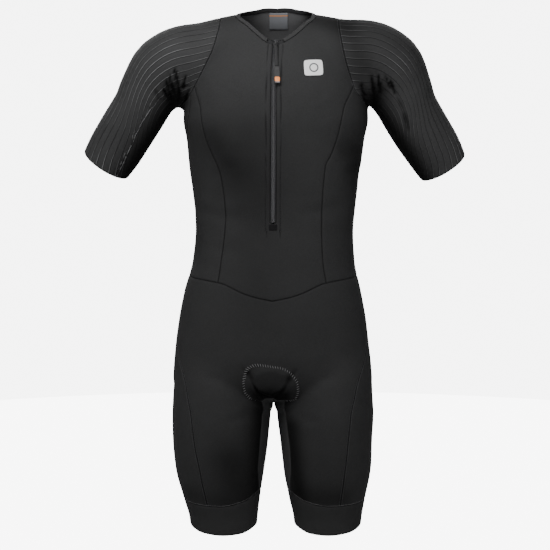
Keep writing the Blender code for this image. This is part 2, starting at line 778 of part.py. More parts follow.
class Seams:
    """Every seam of one side of the suit, worked out once and shared by its pieces."""

    def __init__(self, side):
        self.side = side
        self.turns = armhole_turns(side)
        self.armhole = sleeve_ring(side, 0.0, self.turns)
        self.armhole[-1] = self.armhole[0]
        self.front_mark = ARMHOLE_STEPS
        self.side_mark = self.front_mark + SIDE_STEPS
        self.under_mark = self.side_mark + UNDERARM_STEPS[side]
        self.front_seam = body_seam(FRONT_SEAM, side, self.armhole[self.front_mark])
        self.side_seam = body_seam(SIDE_SEAM, side, self.armhole[self.side_mark])
        self.has_strip = UNDERARM_STEPS[side] > 0
        self.back_line = self.side_seam
        if self.has_strip:
            self.back_line = body_seam(BACK_LINE, side, self.armhole[self.under_mark])
        self.set_neck()
        self.set_waist()
        self.set_legs()

    def set_neck(self):
        """Neckline, zip edge, shoulder seam and the middle lines."""
        side = self.side
        neck_steps = NECK_DOWN_STEPS + NECK_OVER_STEPS
        shares = np.concatenate([[0], spread(BINDING_START, NECK_SIDE_SHARE, neck_steps - 1)])
        self.neck_front = neck_curve(side, shares)
        self.neck_back = neck_curve(side, spread(NECK_SIDE_SHARE, 1, neck_steps))
        self.shoulder = run_between(self.armhole[0], self.neck_front[-1], SHOULDER_STEPS)
        waist_front = WAIST[0][1]
        slit = spread(self.neck_front[0][2], ZIP_BOTTOM, ZIP_STEPS)
        rows = ARMHOLE_STEPS + BODY_STEPS - NECK_DOWN_STEPS
        below = spread(ZIP_BOTTOM - ZIP_SLIT_POINT, waist_front, rows - ZIP_STEPS - 1)
        self.zip_edge = self.beside_zip(ZIP_SLIT_HALF, slit)
        self.neck_front[0] = self.zip_edge[0]
        self.middle_front = np.vstack([self.zip_edge, at_middle(FRONT_CENTRE, below, -1)])
        back_top = self.neck_back[-1][2]
        heights = spread(back_top, WAIST[-1][1], BACK_ARMHOLE_STEPS + BODY_STEPS - NECK_DOWN_STEPS)
        self.middle_back = at_middle(BACK_CENTRE, heights, 1)
        self.neck_back[-1] = self.middle_back[0]

    def beside_zip(self, distance, heights):
        """Places on the front at a distance beside the middle of the zip."""
        place = table_at(FRONT_CENTRE, CENTRE_COLUMNS, "place", heights) + SIGN[self.side] * distance
        level = np.zeros_like(heights)
        return hit(np.stack([place, level, heights], axis=1), np.stack([level, level - 1, level], axis=1))

    def set_waist(self):
        """Waist seam in the runs that the pieces above and below share."""
        side = self.side
        angle_front = waist_angle(FRONT_SEAM, side)
        angle_side = waist_angle(SIDE_SEAM, side)
        columns = SHOULDER_STEPS + NECK_OVER_STEPS
        self.waist_front = waist_points(side, spread(angle_front, 0, columns))
        self.waist_front[0], self.waist_front[-1] = self.front_seam[-1], self.middle_front[-1]
        self.waist_side = waist_points(side, spread(angle_front, angle_side, SIDE_STEPS))
        self.waist_side[0], self.waist_side[-1] = self.front_seam[-1], self.side_seam[-1]
        angle_line = angle_side
        self.waist_strip = None
        if self.has_strip:
            angle_line = waist_angle(BACK_LINE, side)
            self.waist_strip = waist_points(side, spread(angle_side, angle_line, UNDERARM_STEPS[side]))
            self.waist_strip[0], self.waist_strip[-1] = self.side_seam[-1], self.back_line[-1]
        self.waist_back = waist_points(side, spread(angle_line, 180, columns))
        self.waist_back[0], self.waist_back[-1] = self.back_line[-1], self.middle_back[-1]

    def set_legs(self):
        """Leg seams, the crotch line and the band seam."""
        side = self.side
        steps = HIP_STEPS + LEG_STEPS
        self.outer = leg_seam_down(OUTER_SEAM, side, self.side_seam[-1][2], steps)
        self.outer[0] = self.side_seam[-1]
        eased = 1 - (1 - spread(0, 1, HIP_STEPS)) ** CROTCH_EASE
        front = self.middle_front[-1][2] + eased * (CROTCH_FRONT - self.middle_front[-1][2])
        back = self.middle_back[-1][2] + eased * (CROTCH_BACK - self.middle_back[-1][2])
        self.hip_front = at_middle(FRONT_CENTRE, front, -1)
        self.hip_back = at_middle(BACK_CENTRE, back, 1)
        self.hip_front[0], self.hip_back[0] = self.middle_front[-1], self.middle_back[-1]
        self.inner_front = leg_seam_down(INNER_FRONT_SEAM, side, INNER_TOP, LEG_STEPS)
        self.inner_back = leg_seam_down(INNER_BACK_SEAM, side, INNER_TOP_BACK, LEG_STEPS)
        fork_front, fork_back = self.hip_front[-1], self.hip_back[-1]
        origin = np.array([(fork_front[0] + fork_back[0]) / 2, (fork_front[1] + fork_back[1]) / 2, CROTCH_START])
        between = fork_front + spread(0, 1, CROTCH_STEPS)[:, None] * (fork_back - fork_front)
        self.crotch = hit(np.tile(origin, (len(between), 1)), between - origin)
        self.crotch[0], self.crotch[-1] = fork_front, fork_back
        self.gusset_front = run_between(self.inner_front[0], fork_front, GUSSET_STEPS)
        self.gusset_back = run_between(fork_back, self.inner_back[0], GUSSET_STEPS)

    def band_run(self, first, last, steps, kind="band"):
        """Places on the band seam or the hem between two angles."""
        angles = spread(first, last, steps)
        return at_leg_angle(self.side, angles, ring_height(kind, (angles + 180) % 360 - 180))


def yoke_and_body(one, outer, neck, waist, middle):
    """Upper and lower grids of half a body panel, split where the neckline turns."""
    line = run_between(outer[NECK_DOWN_STEPS], neck[NECK_DOWN_STEPS], SHOULDER_STEPS)
    yoke = patch(one.shoulder, line, outer[: NECK_DOWN_STEPS + 1], neck[: NECK_DOWN_STEPS + 1])
    top = np.vstack([line, neck[NECK_DOWN_STEPS + 1:]])
    return [yoke, patch(top, waist, outer[NECK_DOWN_STEPS:], middle)]


def front_panel(seams):
    """Front from the neckline to the waist seam, slit for the zip."""
    grids = []
    for side in SIDES:
        one = seams[side]
        outer = np.vstack([one.armhole[: one.front_mark + 1], one.front_seam[1:]])
        halves = yoke_and_body(one, outer, one.neck_front[::-1], one.waist_front, one.middle_front)
        one.front_body = halves[1]
        grids += halves
    return cloth("front_panel", grids, FABRIC)


def side_panel(one):
    """Shaped panel between the front seam and the side seam."""
    top = one.armhole[one.front_mark: one.side_mark + 1]
    grid = patch(top, one.waist_side, one.front_seam, one.side_seam)
    cloth("side_panel_" + one.side, [grid], FABRIC)


def back_panel(seams):
    """One-piece back; on the left it comes round under the arm in a narrow strip."""
    grids = []
    for side in SIDES:
        one = seams[side]
        if one.has_strip:
            under = one.armhole[one.side_mark: one.under_mark + 1]
            grids.append(patch(under, one.waist_strip, one.side_seam, one.back_line))
        outer = np.vstack([one.armhole[one.under_mark:][::-1], one.back_line[1:]])
        grids += yoke_and_body(one, outer, one.neck_back, one.waist_back, one.middle_back)
    return cloth("back_panel", grids, FABRIC)


def sleeve(one):
    """One-piece sleeve from the armhole to the raw-cut cuff."""
    rings = [one.armhole]
    for along in spread(0, 1, SLEEVE_STEPS)[1:]:
        ring = sleeve_ring(one.side, along, one.turns)
        ring[-1] = ring[0]
        rings.append(ring)
    cloth("sleeve_" + one.side, [np.array(rings)], SLEEVE_FABRIC)


def hip_and_leg(waist, foot, outer, hip, gusset, inner):
    """Grids of a leg piece above and below the level of the crotch."""
    line = run_between(outer[HIP_STEPS], inner[0], len(waist) - 1 - GUSSET_STEPS)
    upper = patch(waist, np.vstack([line, gusset[1:]]), outer[: HIP_STEPS + 1], hip)
    return [upper, patch(line, foot, outer[HIP_STEPS:], inner)]


def shorts_front(seams):
    """Front of both legs in one piece."""
    grids = []
    for side in SIDES:
        one = seams[side]
        waist = np.vstack([one.waist_side[::-1], one.waist_front[1:]])
        columns = len(waist) - 1 - GUSSET_STEPS
        foot = one.band_run(band_meeting(OUTER_SEAM, side), band_meeting(INNER_FRONT_SEAM, side), columns)
        foot[0], foot[-1] = one.outer[-1], one.inner_front[-1]
        grids += hip_and_leg(waist, foot, one.outer, one.hip_front, one.gusset_front, one.inner_front)
        one.band_front = columns
    return cloth("shorts_front", grids, FABRIC)


def with_middles(points):
    """Run with the middle of each straight length added, so that it keeps its line."""
    finer = np.empty((2 * len(points) - 1, 3))
    finer[::2] = points
    finer[1::2] = (points[:-1] + points[1:]) / 2
    return finer


def shorts_back(one):
    """Seat and back of one leg, to the middle seam and the inner leg seam."""
    side = one.side
    waist = one.waist_back if one.waist_strip is None else np.vstack([one.waist_strip, one.waist_back[1:]])
    waist = with_middles(waist)
    half = (len(waist) + 1) // 2
    rail = leg_seam_down(BACK_RAIL, side, waist[half][2], HIP_STEPS + LEG_STEPS)
    rail[0] = waist[half]
    outer_angle, rail_angle = band_meeting(OUTER_SEAM, side), band_meeting(BACK_RAIL, side)
    inner_angle = 360 + band_meeting(INNER_BACK_SEAM, side)
    one.band_near, one.band_far = half, len(waist) - 1 - half - GUSSET_STEPS
    near = one.band_run(outer_angle, rail_angle, one.band_near)
    far = one.band_run(rail_angle, inner_angle, one.band_far)
    near[0], near[-1], far[0], far[-1] = one.outer[-1], rail[-1], rail[-1], one.inner_back[-1]
    grids = [patch(waist[: half + 1], near, one.outer, rail)]
    grids += hip_and_leg(waist[half:], far, rail, one.hip_back, one.gusset_back[::-1], one.inner_back)
    cloth("shorts_back_" + side, grids, FABRIC)


def inner_leg(one):
    """Inside of one leg from the crotch line to the band."""
    top = np.vstack([one.gusset_front, one.crotch[1:-1], one.gusset_back])
    first = band_meeting(INNER_FRONT_SEAM, one.side)
    last = band_meeting(INNER_BACK_SEAM, one.side)
    rows = [top]
    for front, back in zip(one.inner_front[1:], one.inner_back[1:]):
        front_angle = table_at(INNER_FRONT_SEAM, SEAM_COLUMNS, one.side, front[2])
        back_angle = table_at(INNER_BACK_SEAM, SEAM_COLUMNS, one.side, back[2])
        across = spread(0, 1, len(top) - 1)
        angles = front_angle + across * (back_angle - front_angle)
        row = at_leg_angle(one.side, angles, front[2] + across * (back[2] - front[2]))
        row[0], row[-1] = front, back
        rows.append(row)
    foot = one.band_run(first, last, len(top) - 1)
    foot[0], foot[-1] = one.inner_front[-1], one.inner_back[-1]
    rows[-1] = foot
    cloth("inner_leg_" + one.side, [np.array(rows)], FABRIC)


def leg_band(one):
    """Elastic band round the end of one leg."""
    outer_angle = band_meeting(OUTER_SEAM, one.side)
    front_angle = band_meeting(INNER_FRONT_SEAM, one.side)
    back_angle = band_meeting(INNER_BACK_SEAM, one.side)
    rail_angle = band_meeting(BACK_RAIL, one.side)
    runs = [
        spread(outer_angle, front_angle, one.band_front),
        spread(front_angle, back_angle, CROTCH_STEPS + 2 * GUSSET_STEPS)[1:],
        spread(back_angle, rail_angle - 360, one.band_far)[1:],
        spread(rail_angle - 360, outer_angle - 360, one.band_near)[1:],
    ]
    angles = np.concatenate(runs)
    wrapped = (angles + 180) % 360 - 180
    rings = []
    for share in spread(0, 1, BAND_STEPS):
        heights = ring_height("band", wrapped) * (1 - share) + ring_height("hem", wrapped) * share
        ring = at_leg_angle(one.side, angles, heights)
        ring[-1] = ring[0]
        rings.append(ring)
    cloth("leg_band_" + one.side, [np.array(rings)], BAND_FABRIC, wall=BAND_WALL)


def neck_binding(seams):
    """Elastic binding round the neckline, open at the zip."""
    left, right = seams["left"], seams["right"]
    runs = [left.neck_front[1:], left.neck_back[1:], right.neck_back[::-1][1:], right.neck_front[::-1][1:-1]]
    seam = np.vstack(runs)
    along = np.gradient(seam, axis=0)
    inward = np.cross(along, normals(seam))
    inward /= np.linalg.norm(inward, axis=1)[:, None]
    edge = settle(seam + BINDING_WIDTH * inward)
    cloth("neck_binding", [np.array([edge, seam])], BINDING_ELASTIC, wall=BINDING_WALL, proud=BINDING_PROUD)


# ---------------------------------------------------------------- zip and trim

def front_strip(near, far, heights):
    """Grid on the front between two distances from the middle of the zip."""
    place = table_at(FRONT_CENTRE, CENTRE_COLUMNS, "place", heights)
    level = np.zeros_like(heights)
    rails = []
    for distance in (near, far):
        origins = np.stack([place + distance, level, heights], axis=1)
        rails.append(hit(origins, np.stack([level, level - 1, level], axis=1)))
    return np.stack(rails, axis=1)


def zip_chain(seams):
    """Closed chain that fills the slit."""
    heights = seams["left"].zip_edge[:, 2]
    chain = front_strip(-ZIP_CHAIN_HALF, ZIP_CHAIN_HALF, heights)
    cloth("zip_chain", [chain], ZIP_NYLON, wall=ZIP_CHAIN_WALL, proud=-ZIP_CHAIN_SUNK, inset=0)


def zip_tape(front, side):
    """Tape beside the chain, made from the front panel's inner face, moved in."""
    tree = piece_surface(front)
    heights = spread(TAPE_TOP, ZIP_BOTTOM + ZIP_SLIT_POINT, 2 * ZIP_STEPS)
    place = table_at(FRONT_CENTRE, CENTRE_COLUMNS, "place", heights)
    rows = []
    for middle, height in zip(place, heights):
        near = Vector((middle + SIGN[side] * (ZIP_SLIT_HALF + TRIM_GAP), 0, height))
        far = Vector((middle + SIGN[side] * ZIP_TAPE_HALF, 0, height))
        near, far = (np.array(tree.ray_cast(start, Vector((0, -1, 0)))[0]) for start in (near, far))
        run = (near - far) / np.linalg.norm(near - far)
        rows.append((near + (ZIP_SLIT_HALF - ZIP_CHAIN_HALF) * run, near, far))
    cloth("zip_tape_" + side, [np.array(rows)], ZIP_FABRIC, wall=ZIP_TAPE_WALL, proud=-TRIM_GAP, inset=0)


def piece_surface(piece):
    """Search tree of a piece's own faces, in millimetres."""
    corners = [corner.co / METRE for corner in piece.data.vertices]
    return BVHTree.FromPolygons(corners, [face.vertices[:] for face in piece.data.polygons])


def trim_grid(piece, centre, size, tilt, counts, start, way):
    """Grid of a small rectangle laid on a piece's own faces, met from a depth on the Y axis."""
    tree = piece_surface(piece)
    rows = []
    for down in spread(size[1] / 2, -size[1] / 2, counts[1]):
        row = []
        for across in spread(-size[0] / 2, size[0] / 2, counts[0]):
            side = centre[0] + across * math.cos(tilt) - down * math.sin(tilt)
            height = centre[1] + across * math.sin(tilt) + down * math.cos(tilt)
            row.append(tree.ray_cast(Vector((side, start, height)), Vector((0, way, 0)))[0][:])
        rows.append(row)
    return np.array(rows)


def trims(front, back, shorts, seams):
    """End patch, chest badge, neck label and the front of the seat pad, laid on their panels."""
    place = float(table_at(FRONT_CENTRE, CENTRE_COLUMNS, "place", ZIP_BOTTOM))
    proud = TRIM_GAP + TRIM_WALL
    middle = (place, ZIP_BOTTOM - ZIP_SLIT_POINT - END_PATCH_SIZE[1] / 2)
    grid = trim_grid(front, middle, END_PATCH_SIZE, 0.0, (3, 3), -300, 1)
    cloth("zip_end_patch", [grid], ZIP_FABRIC, wall=TRIM_WALL, proud=proud, inset=0)
    grid = trim_grid(front, BADGE_CENTRE, BADGE_SIZE, BADGE_TILT, (6, 5), -300, 1)
    cloth("chest_badge", [grid], BADGE_WHITE, wall=TRIM_WALL, proud=proud, inset=0)
    middle = (LABEL_OFFSET, seams["left"].neck_back[-1][2] - LABEL_SIZE[1] / 2 - LABEL_DROP)
    grid = trim_grid(back, middle, LABEL_SIZE, 0.0, (5, 5), 0, 1)
    cloth("neck_label", [grid], LABEL_SATIN, wall=LABEL_WALL, proud=-TRIM_GAP, inset=0)
    grid = trim_grid(shorts, PAD_CENTRE, PAD_SIZE, 0.0, (8, 5), 0, -1)
    cloth("seat_pad", [grid], PAD_FOAM, wall=PAD_WALL, proud=-TRIM_GAP, inset=0)


def prism(outline, low, high, place):
    """Points and faces of an outline drawn out between two levels of a third direction."""
    count = len(outline)
    points = [place(one, two, level) for level in (low, high) for one, two in outline]
    faces = [(step, (step + 1) % count, (step + 1) % count + count, step + count) for step in range(count)]
    faces += [tuple(range(count))[::-1], tuple(range(count, 2 * count))]
    middle = np.mean(points, axis=0)
    first = np.array(points)[list(faces[-1])]
    facing = np.zeros(3)
    for one, two in zip(first, np.roll(first, -1, axis=0)):
        facing += np.cross(one - middle, two - middle)
    outward = facing @ (first.mean(axis=0) - middle) > 0
    return points, faces if outward else [face[::-1] for face in faces]


def plan_place(across, height, out):
    """Point of a plan outline: across, up, and out from the chain."""
    return across, -out, height


def side_place(out, height, across):
    """Point of a side outline: out from the chain, up, and across."""
    return across, -out, height


def swayed_place(across, height, out):
    """Point of the tab's plan, swayed to one side below its fork."""
    return across + max(0.0, -height - FORK_DEPTH) * math.tan(TAB_SWAY), -out, height


def holder(name, place, lean):
    """Empty that holds pieces at a place on the front, leaning with the chest."""
    empty = bpy.data.objects.new(name, None)
    empty.location = np.array(place) * METRE
    empty.rotation_euler = (-lean, 0, 0)
    bpy.context.scene.collection.objects.link(empty)
    return empty


def hung(name, points, faces, finish, parent, ease=0.0):
    """Piece in its holder's frame, with eased edges."""
    piece = add_object(name, points, faces, finish)
    piece.parent = parent
    if ease:
        edges = piece.modifiers.new("eased edges", "BEVEL")
        edges.width = ease * METRE
        edges.segments = 2
        edges.limit_method = "ANGLE"
        edges.angle_limit = math.radians(50)
    return piece


def joined(piece, helper):
    """Piece with a helper's shape joined on, and the helper removed."""
    union = piece.modifiers.new("union", "BOOLEAN")
    union.operation = "UNION"
    union.object = helper
    union.solver = "EXACT"
    bpy.context.view_layer.update()
    shape = piece.evaluated_get(bpy.context.evaluated_depsgraph_get())
    piece.data = bpy.data.meshes.new_from_object(shape)
    piece.modifiers.clear()
    bpy.data.objects.remove(helper, do_unlink=True)


def zip_slider():
    """Slider on the chain, with the lug that its pull tab turns on."""
    seat = at_middle(FRONT_CENTRE, np.array([SLIDER_HEIGHT]), -1)[0]
    facing = normals(seat[None])[0]
    lean = math.atan2(facing[2], -facing[1])
    frame = holder("slider_frame", seat, lean)
    half, wide, narrow = SLIDER_LENGTH / 2, SLIDER_WIDE / 2, SLIDER_NARROW / 2
    plan = [(-narrow, -half), (narrow, -half), (wide, 0.3 * half), (0.8 * wide, half)]
    plan += [(-0.8 * wide, half), (-wide, 0.3 * half)]
    slider = hung("zip_slider", *prism(plan, 0, SLIDER_PLATE, plan_place), ZIP_METAL, frame, ease=0.5)
    axis_out = SLIDER_PLATE + LUG_RISE
    outline = [(0.5 * SLIDER_PLATE, -LUG_RADIUS), (0.5 * SLIDER_PLATE, LUG_RADIUS)]
    for turn in spread(0, math.pi, 6):
        outline.append((axis_out + LUG_RADIUS * math.sin(turn), LUG_RADIUS * math.cos(turn)))
    lug = hung("lug", *prism(outline, -LUG_WIDTH / 2, LUG_WIDTH / 2, side_place), ZIP_METAL, frame)
    joined(slider, lug)
    return seat + axis_out * np.array([0, -math.cos(lean), math.sin(lean)])


def rest_lean(hinge):
    """Lean at which the tab hangs from its hinge and just clears the chest."""
    reach = TONGUE_LENGTH + GRIP_LENGTH
    chest = at_middle(FRONT_CENTRE, hinge[2] - spread(0.3 * reach, reach, 20), -1)
    away = chest - hinge
    distance = np.hypot(away[:, 1], away[:, 2])
    turn = np.arctan2(-away[:, 1], -away[:, 2])
    return float(np.max(turn + np.arcsin((GRIP_WALL / 2 + TAB_REST) / distance)))


def zip_tab(hinge):
    """Pull tab: forked tongue, rubber grip and its inlay, all hung on the hinge line."""
    frame = holder("tab_frame", hinge, rest_lean(hinge))
    half, inner = TONGUE_WIDTH / 2, LUG_WIDTH / 2 + FORK_GAP
    tongue = [(-half, -TONGUE_LENGTH), (half, -TONGUE_LENGTH), (half, -FORK_DEPTH), (half, FORK_RISE)]
    tongue += [(inner, FORK_RISE), (inner, -FORK_DEPTH), (-inner, -FORK_DEPTH), (-inner, FORK_RISE)]
    tongue += [(-half, FORK_RISE), (-half, -FORK_DEPTH)]
    wall = TONGUE_WALL / 2
    hung("zip_tab", *prism(tongue, -wall, wall, swayed_place), ZIP_FABRIC, frame)
    half, corner = GRIP_WIDTH / 2, GRIP_CORNER
    top = -TONGUE_LENGTH - SEAM_GAP
    foot = top - GRIP_LENGTH
    grip = [(-half + corner, foot), (half - corner, foot), (half, foot + corner), (half, top - corner)]
    grip += [(half - 0.6 * corner, top), (-half + 0.6 * corner, top), (-half, top - corner), (-half, foot + corner)]
    wall = GRIP_WALL / 2
    hung("zip_grip", *prism(grip, -wall, wall, swayed_place), RUBBER, frame, ease=0.7)
    half, low = INLAY_WIDTH / 2, foot + INLAY_FROM_END - INLAY_LENGTH / 2
    inlay = [(-half, low), (half, low), (half, low + INLAY_LENGTH), (-half, low + INLAY_LENGTH)]
    base = wall + SEAM_GAP
    hung("zip_inlay", *prism(inlay, base, base + INLAY_WALL, swayed_place), SIGNAL_ORANGE, frame)


def build():
    """Make every piece."""
    for old in list(bpy.data.objects):
        bpy.data.objects.remove(old, do_unlink=True)
    seams = {side: Seams(side) for side in SIDES}
    front = front_panel(seams)
    back = back_panel(seams)
    shorts = shorts_front(seams)
    for side in SIDES:
        one = seams[side]
        side_panel(one)
        sleeve(one)
        shorts_back(one)
        inner_leg(one)
        leg_band(one)
        zip_tape(front, side)
    neck_binding(seams)
    zip_chain(seams)
    trims(front, back, shorts, seams)
    zip_tab(zip_slider())


build()
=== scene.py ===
"""Finished look of a short-sleeved, half-zip triathlon suit in its worn form, empty inside.

Every cloth is a thin shell on one smooth figure, the blend of an oval torso, two leg
ovals and two sleeve tubes. Seams are curves on that figure. A cloth is a grid of points
between its seams, drawn onto the figure, rolled in at its seams and given its folds.

Frame: +X to the viewer's right, +Y away from the viewer, +Z up. The origin lies between
the shoulders, level with their tops. Lengths are in millimetres until a mesh is made.
Left and right are the viewer's.
"""

from __future__ import annotations

import logging
import math
from dataclasses import dataclass, field, replace
from enum import Enum
from typing import Any, Callable, Sequence

import bpy
import numpy as np
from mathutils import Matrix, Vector


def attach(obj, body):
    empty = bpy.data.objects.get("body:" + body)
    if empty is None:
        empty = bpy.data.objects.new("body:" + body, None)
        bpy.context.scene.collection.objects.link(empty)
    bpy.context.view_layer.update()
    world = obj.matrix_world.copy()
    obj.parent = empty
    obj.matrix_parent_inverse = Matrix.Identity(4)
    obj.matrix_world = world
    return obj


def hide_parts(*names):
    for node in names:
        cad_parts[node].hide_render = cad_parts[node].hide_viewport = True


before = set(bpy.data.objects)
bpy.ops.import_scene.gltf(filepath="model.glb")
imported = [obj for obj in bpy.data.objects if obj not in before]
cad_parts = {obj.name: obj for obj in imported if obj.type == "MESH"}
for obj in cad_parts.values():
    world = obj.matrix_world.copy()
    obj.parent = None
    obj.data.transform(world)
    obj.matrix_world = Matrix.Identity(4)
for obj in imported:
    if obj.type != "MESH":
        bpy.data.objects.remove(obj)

Array = np.ndarray
Body = tuple[np.ndarray, list]
Pair = tuple[float, float]
Piece = bpy.types.Object
METRE = 0.001
FINE = 8
# Wall of the cloths, and a distance past every seam
CLOTH_WALL = 1.1
FAR = 1e3
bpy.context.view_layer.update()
log = logging.getLogger("suit")


class Side(Enum):
    """The viewer's left or right."""

    LEFT = "left"
    RIGHT = "right"

    @property
    def sign(self) -> float:
        """Way along X from the middle."""
        return -1.0 if self is Side.LEFT else 1.0


# ---- tables and curves

def through(stations: Array, values: Array, at: Any) -> Array:
    """Smooth curve through values at stations, read at places, that never swings past a value.

    Cubic Hermite pieces whose slope at a station is the harmonic mean of the two slopes
    beside it, or level where these differ in sign.
    """
    stations, values = np.asarray(stations, float), np.asarray(values, float)
    if stations[0] > stations[-1]:
        stations, values = stations[::-1], values[::-1]
    slopes = np.diff(values) / np.diff(stations)
    total = slopes[:-1] + slopes[1:]
    same_way = slopes[:-1] * slopes[1:] > 0
    tangents = np.empty_like(values)
    tangents[1:-1] = np.where(same_way, 2 * slopes[:-1] * slopes[1:] / np.where(total == 0, 1, total), 0)
    tangents[0], tangents[-1] = slopes[0], slopes[-1]
    at = np.clip(at, stations[0], stations[-1])
    low = np.clip(np.searchsorted(stations, at) - 1, 0, len(stations) - 2)
    width = stations[low + 1] - stations[low]
    share = (at - stations[low]) / width
    rest = 1 - share
    ends = (1 + 2 * share) * rest ** 2 * values[low] + share ** 2 * (3 - 2 * share) * values[low + 1]
    return ends + share * rest * width * (rest * tangents[low] - share * tangents[low + 1])


class Table:
    """Rows of sizes under named columns, read smoothly along the first column."""

    def __init__(self, columns: str, *rows: tuple[float, ...]) -> None:
        """Name the columns and store the rows."""
        self.names = columns.split()
        self.rows = np.array(rows, float)

    def __getitem__(self, name: str) -> Array:
        """One named column."""
        return self.rows[:, self.names.index(name)]

    def at(self, name: str, where: Any) -> Array:
        """A named column, read smoothly at places in the first column."""
        return through(self.rows[:, 0], self[name], where)


def spread(first: float, last: float, cells: int) -> Array:
    """Evenly spaced values, FINE to each coarse cell."""
    return np.linspace(first, last, cells * FINE + 1)


def join(*runs: Array) -> Array:
    """Runs end to end, the shared ends kept once."""
    return np.concatenate([runs[0]] + [run[1:] for run in runs[1:]])


def lengths_along(points: Array) -> Array:
    """Length of a line of points up to each of them."""
    return np.concatenate([[0.0], np.cumsum(np.linalg.norm(np.diff(points, axis=0), axis=1))])


def smooth_step(value: Array) -> Array:
    """Rise from 0 to 1 between 0 and 1, level at both ends: 3t² - 2t³."""
    share = np.clip(value, 0.0, 1.0)
    return share * share * (3 - 2 * share)


def cubic_weights(cells: int) -> Array:
    """Weights that carry cells + 1 points to FINE times as many cells.

    Catmull-Rom cubics through the points; past each end the run is carried on straight.
    """
    at = np.linspace(0, cells, cells * FINE + 1)
    low = np.minimum(at.astype(int), cells - 1)
    t = at - low
    basis = (2 * t ** 2 - t - t ** 3, 2 - 5 * t ** 2 + 3 * t ** 3, t + 4 * t ** 2 - 3 * t ** 3,
             t ** 3 - t ** 2)
    padded = np.zeros((len(at), cells + 3))
    for place, part in enumerate(basis):
        padded[np.arange(len(at)), low + place] = part / 2
    weights = padded[:, 1:-1].copy()
    weights[:, 0] += 2 * padded[:, 0]
    weights[:, 1] -= padded[:, 0]
    weights[:, -1] += 2 * padded[:, -1]
    weights[:, -2] -= padded[:, -1]
    return weights


def refined(grid: Array) -> Array:
    """Coarse grid carried to FINE times as many cells each way."""
    down, over = (cubic_weights(count - 1) for count in grid.shape[:2])
    return np.einsum("ia,jb,abk->ijk", down, over, grid, optimize=True)


def coons(top: Array, bottom: Array, left: Array, right: Array) -> Array:
    """Grid between four edges: ruled down plus ruled across minus the corners' bilinear blend."""
    down = np.linspace(0, 1, len(left))[:, None, None]
    over = np.linspace(0, 1, len(top))[None, :, None]
    ruled = (1 - down) * top[None] + down * bottom[None] + (1 - over) * left[:, None] + over * right[:, None]
    corners = (1 - down) * ((1 - over) * top[0] + over * top[-1])
    return ruled - corners - down * ((1 - over) * bottom[0] + over * bottom[-1])


# ---- sizes of the figure

# How far the torso, sleeve and leg forms melt into each other
SLEEVE_BLEND = 14.0
LEG_BLEND = 12.0
THIGH_BLEND = 5.0
TORSO_POWER = 2.2
LEG_POWER = 2.1

# Torso sections, top to bottom
TORSO = Table(
    "height centre half front back",
    (69, 4.4, 51, 32, 50), (25, 4.4, 53, 36, 57), (-2, 3.5, 62, 46, 68), (-37, 2.7, 96, 66, 90),
    (-73, 2.7, 129, 87, 109), (-108, 2.1, 149, 103, 121), (-143, 2.5, 159, 112, 126),
    (-179, 2.3, 162, 115, 125), (-214, 1.8, 156, 113, 121), (-267, 0.9, 150, 107, 111),
    (-320, 0.9, 143, 101, 102), (-373, 0.0, 139, 98, 98), (-427, -1.4, 143, 99, 102),
    (-480, -3.2, 156, 102, 113), (-533, -3.5, 166, 105, 124), (-586, -4.1, 172, 105, 129),
    (-632, -4.1, 174, 99, 122), (-657, -2.7, 156, 84, 98), (-666, -1.8, 110, 52, 62),
    (-673, -1.8, 39, 12, 16),
)

# Leg sections, top to bottom; the centres are distances from the middle
LEG = Table(
    "height centre_left half_left centre_right half_right front back",
    (-450, 70, 60, 70, 60, 50, 60), (-550, 87, 71, 83, 71, 60, 75), (-604, 91, 83, 86, 83, 85, 105),
    (-657, 93, 86.5, 88, 86, 96, 113), (-692, 94, 87.5, 90, 86, 97, 112), (-745, 96, 85, 92, 82, 91, 107),
    (-798, 97, 79, 94, 78, 78, 98), (-851, 94, 68, 94, 68, 61, 90), (-887, 91, 61, 95, 61, 52, 85),
    (-958, 90, 55, 95, 55, 46, 80),
)

# Sleeve tubes from the middle of the yoke to past the cuff: the centre line and the radii
ARM_COLUMNS = "out back height radius depth"
ARM = {
    "left": Table(
        ARM_COLUMNS,
        (0, 6, -58, 73, 73), (65, 6, -67, 70, 70), (117, 4, -79, 70, 69), (154, 3, -86, 71.5, 68),
        (186, 3, -94.5, 65, 63), (218, 6, -127, 53.5, 56), (235.5, 10, -158, 49.5, 54),
        (258, 15, -193, 49.3, 51), (279.5, 21, -226.5, 48.6, 49), (301.5, 27, -261, 44.8, 44.5),
        (330, 35, -307, 43, 42),
    ),
    "right": Table(
        ARM_COLUMNS,
        (0, 6, -58, 73, 73), (67, 6, -66, 70, 70), (120, 4, -76.5, 72, 71), (159, 3, -80, 74, 71),
        (192, 3, -90, 68.5, 65), (218.5, 6, -125, 57.7, 58), (235.5, 10, -159.5, 52.2, 56),
        (257, 15, -195, 51.4, 53), (280, 21, -229.5, 49.6, 49.5), (303, 27, -268, 44, 44),
        (330, 35, -312, 41, 41),
    ),
}
ARM_STEPS = 40

# Sleeve rings: where each ring meets the outer and the inner outline of the sleeve
FAN_COLUMNS = "along outer_out outer_height inner_out inner_height"
FAN = {
    "left": Table(
        FAN_COLUMNS,
        (0.0, 100, -7, 166.3, -153.0), (0.25, 187, -14, 189, -178), (0.5, 254, -73, 213, -212),
        (0.75, 291, -150, 236, -246), (1.0, 334, -234, 265, -280),
    ),
    "right": Table(
        FAN_COLUMNS,
        (0.0, 116, -6, 169.6, -160.6), (0.25, 206, -8, 195, -189), (0.5, 263, -74, 217, -225),
        (0.75, 295, -157, 240, -257), (1.0, 333.6, -240, 265.6, -283.4),
    ),
}
ARM_LEAN = math.radians(14.0)
RING_CENTRE_BACK = 5.0

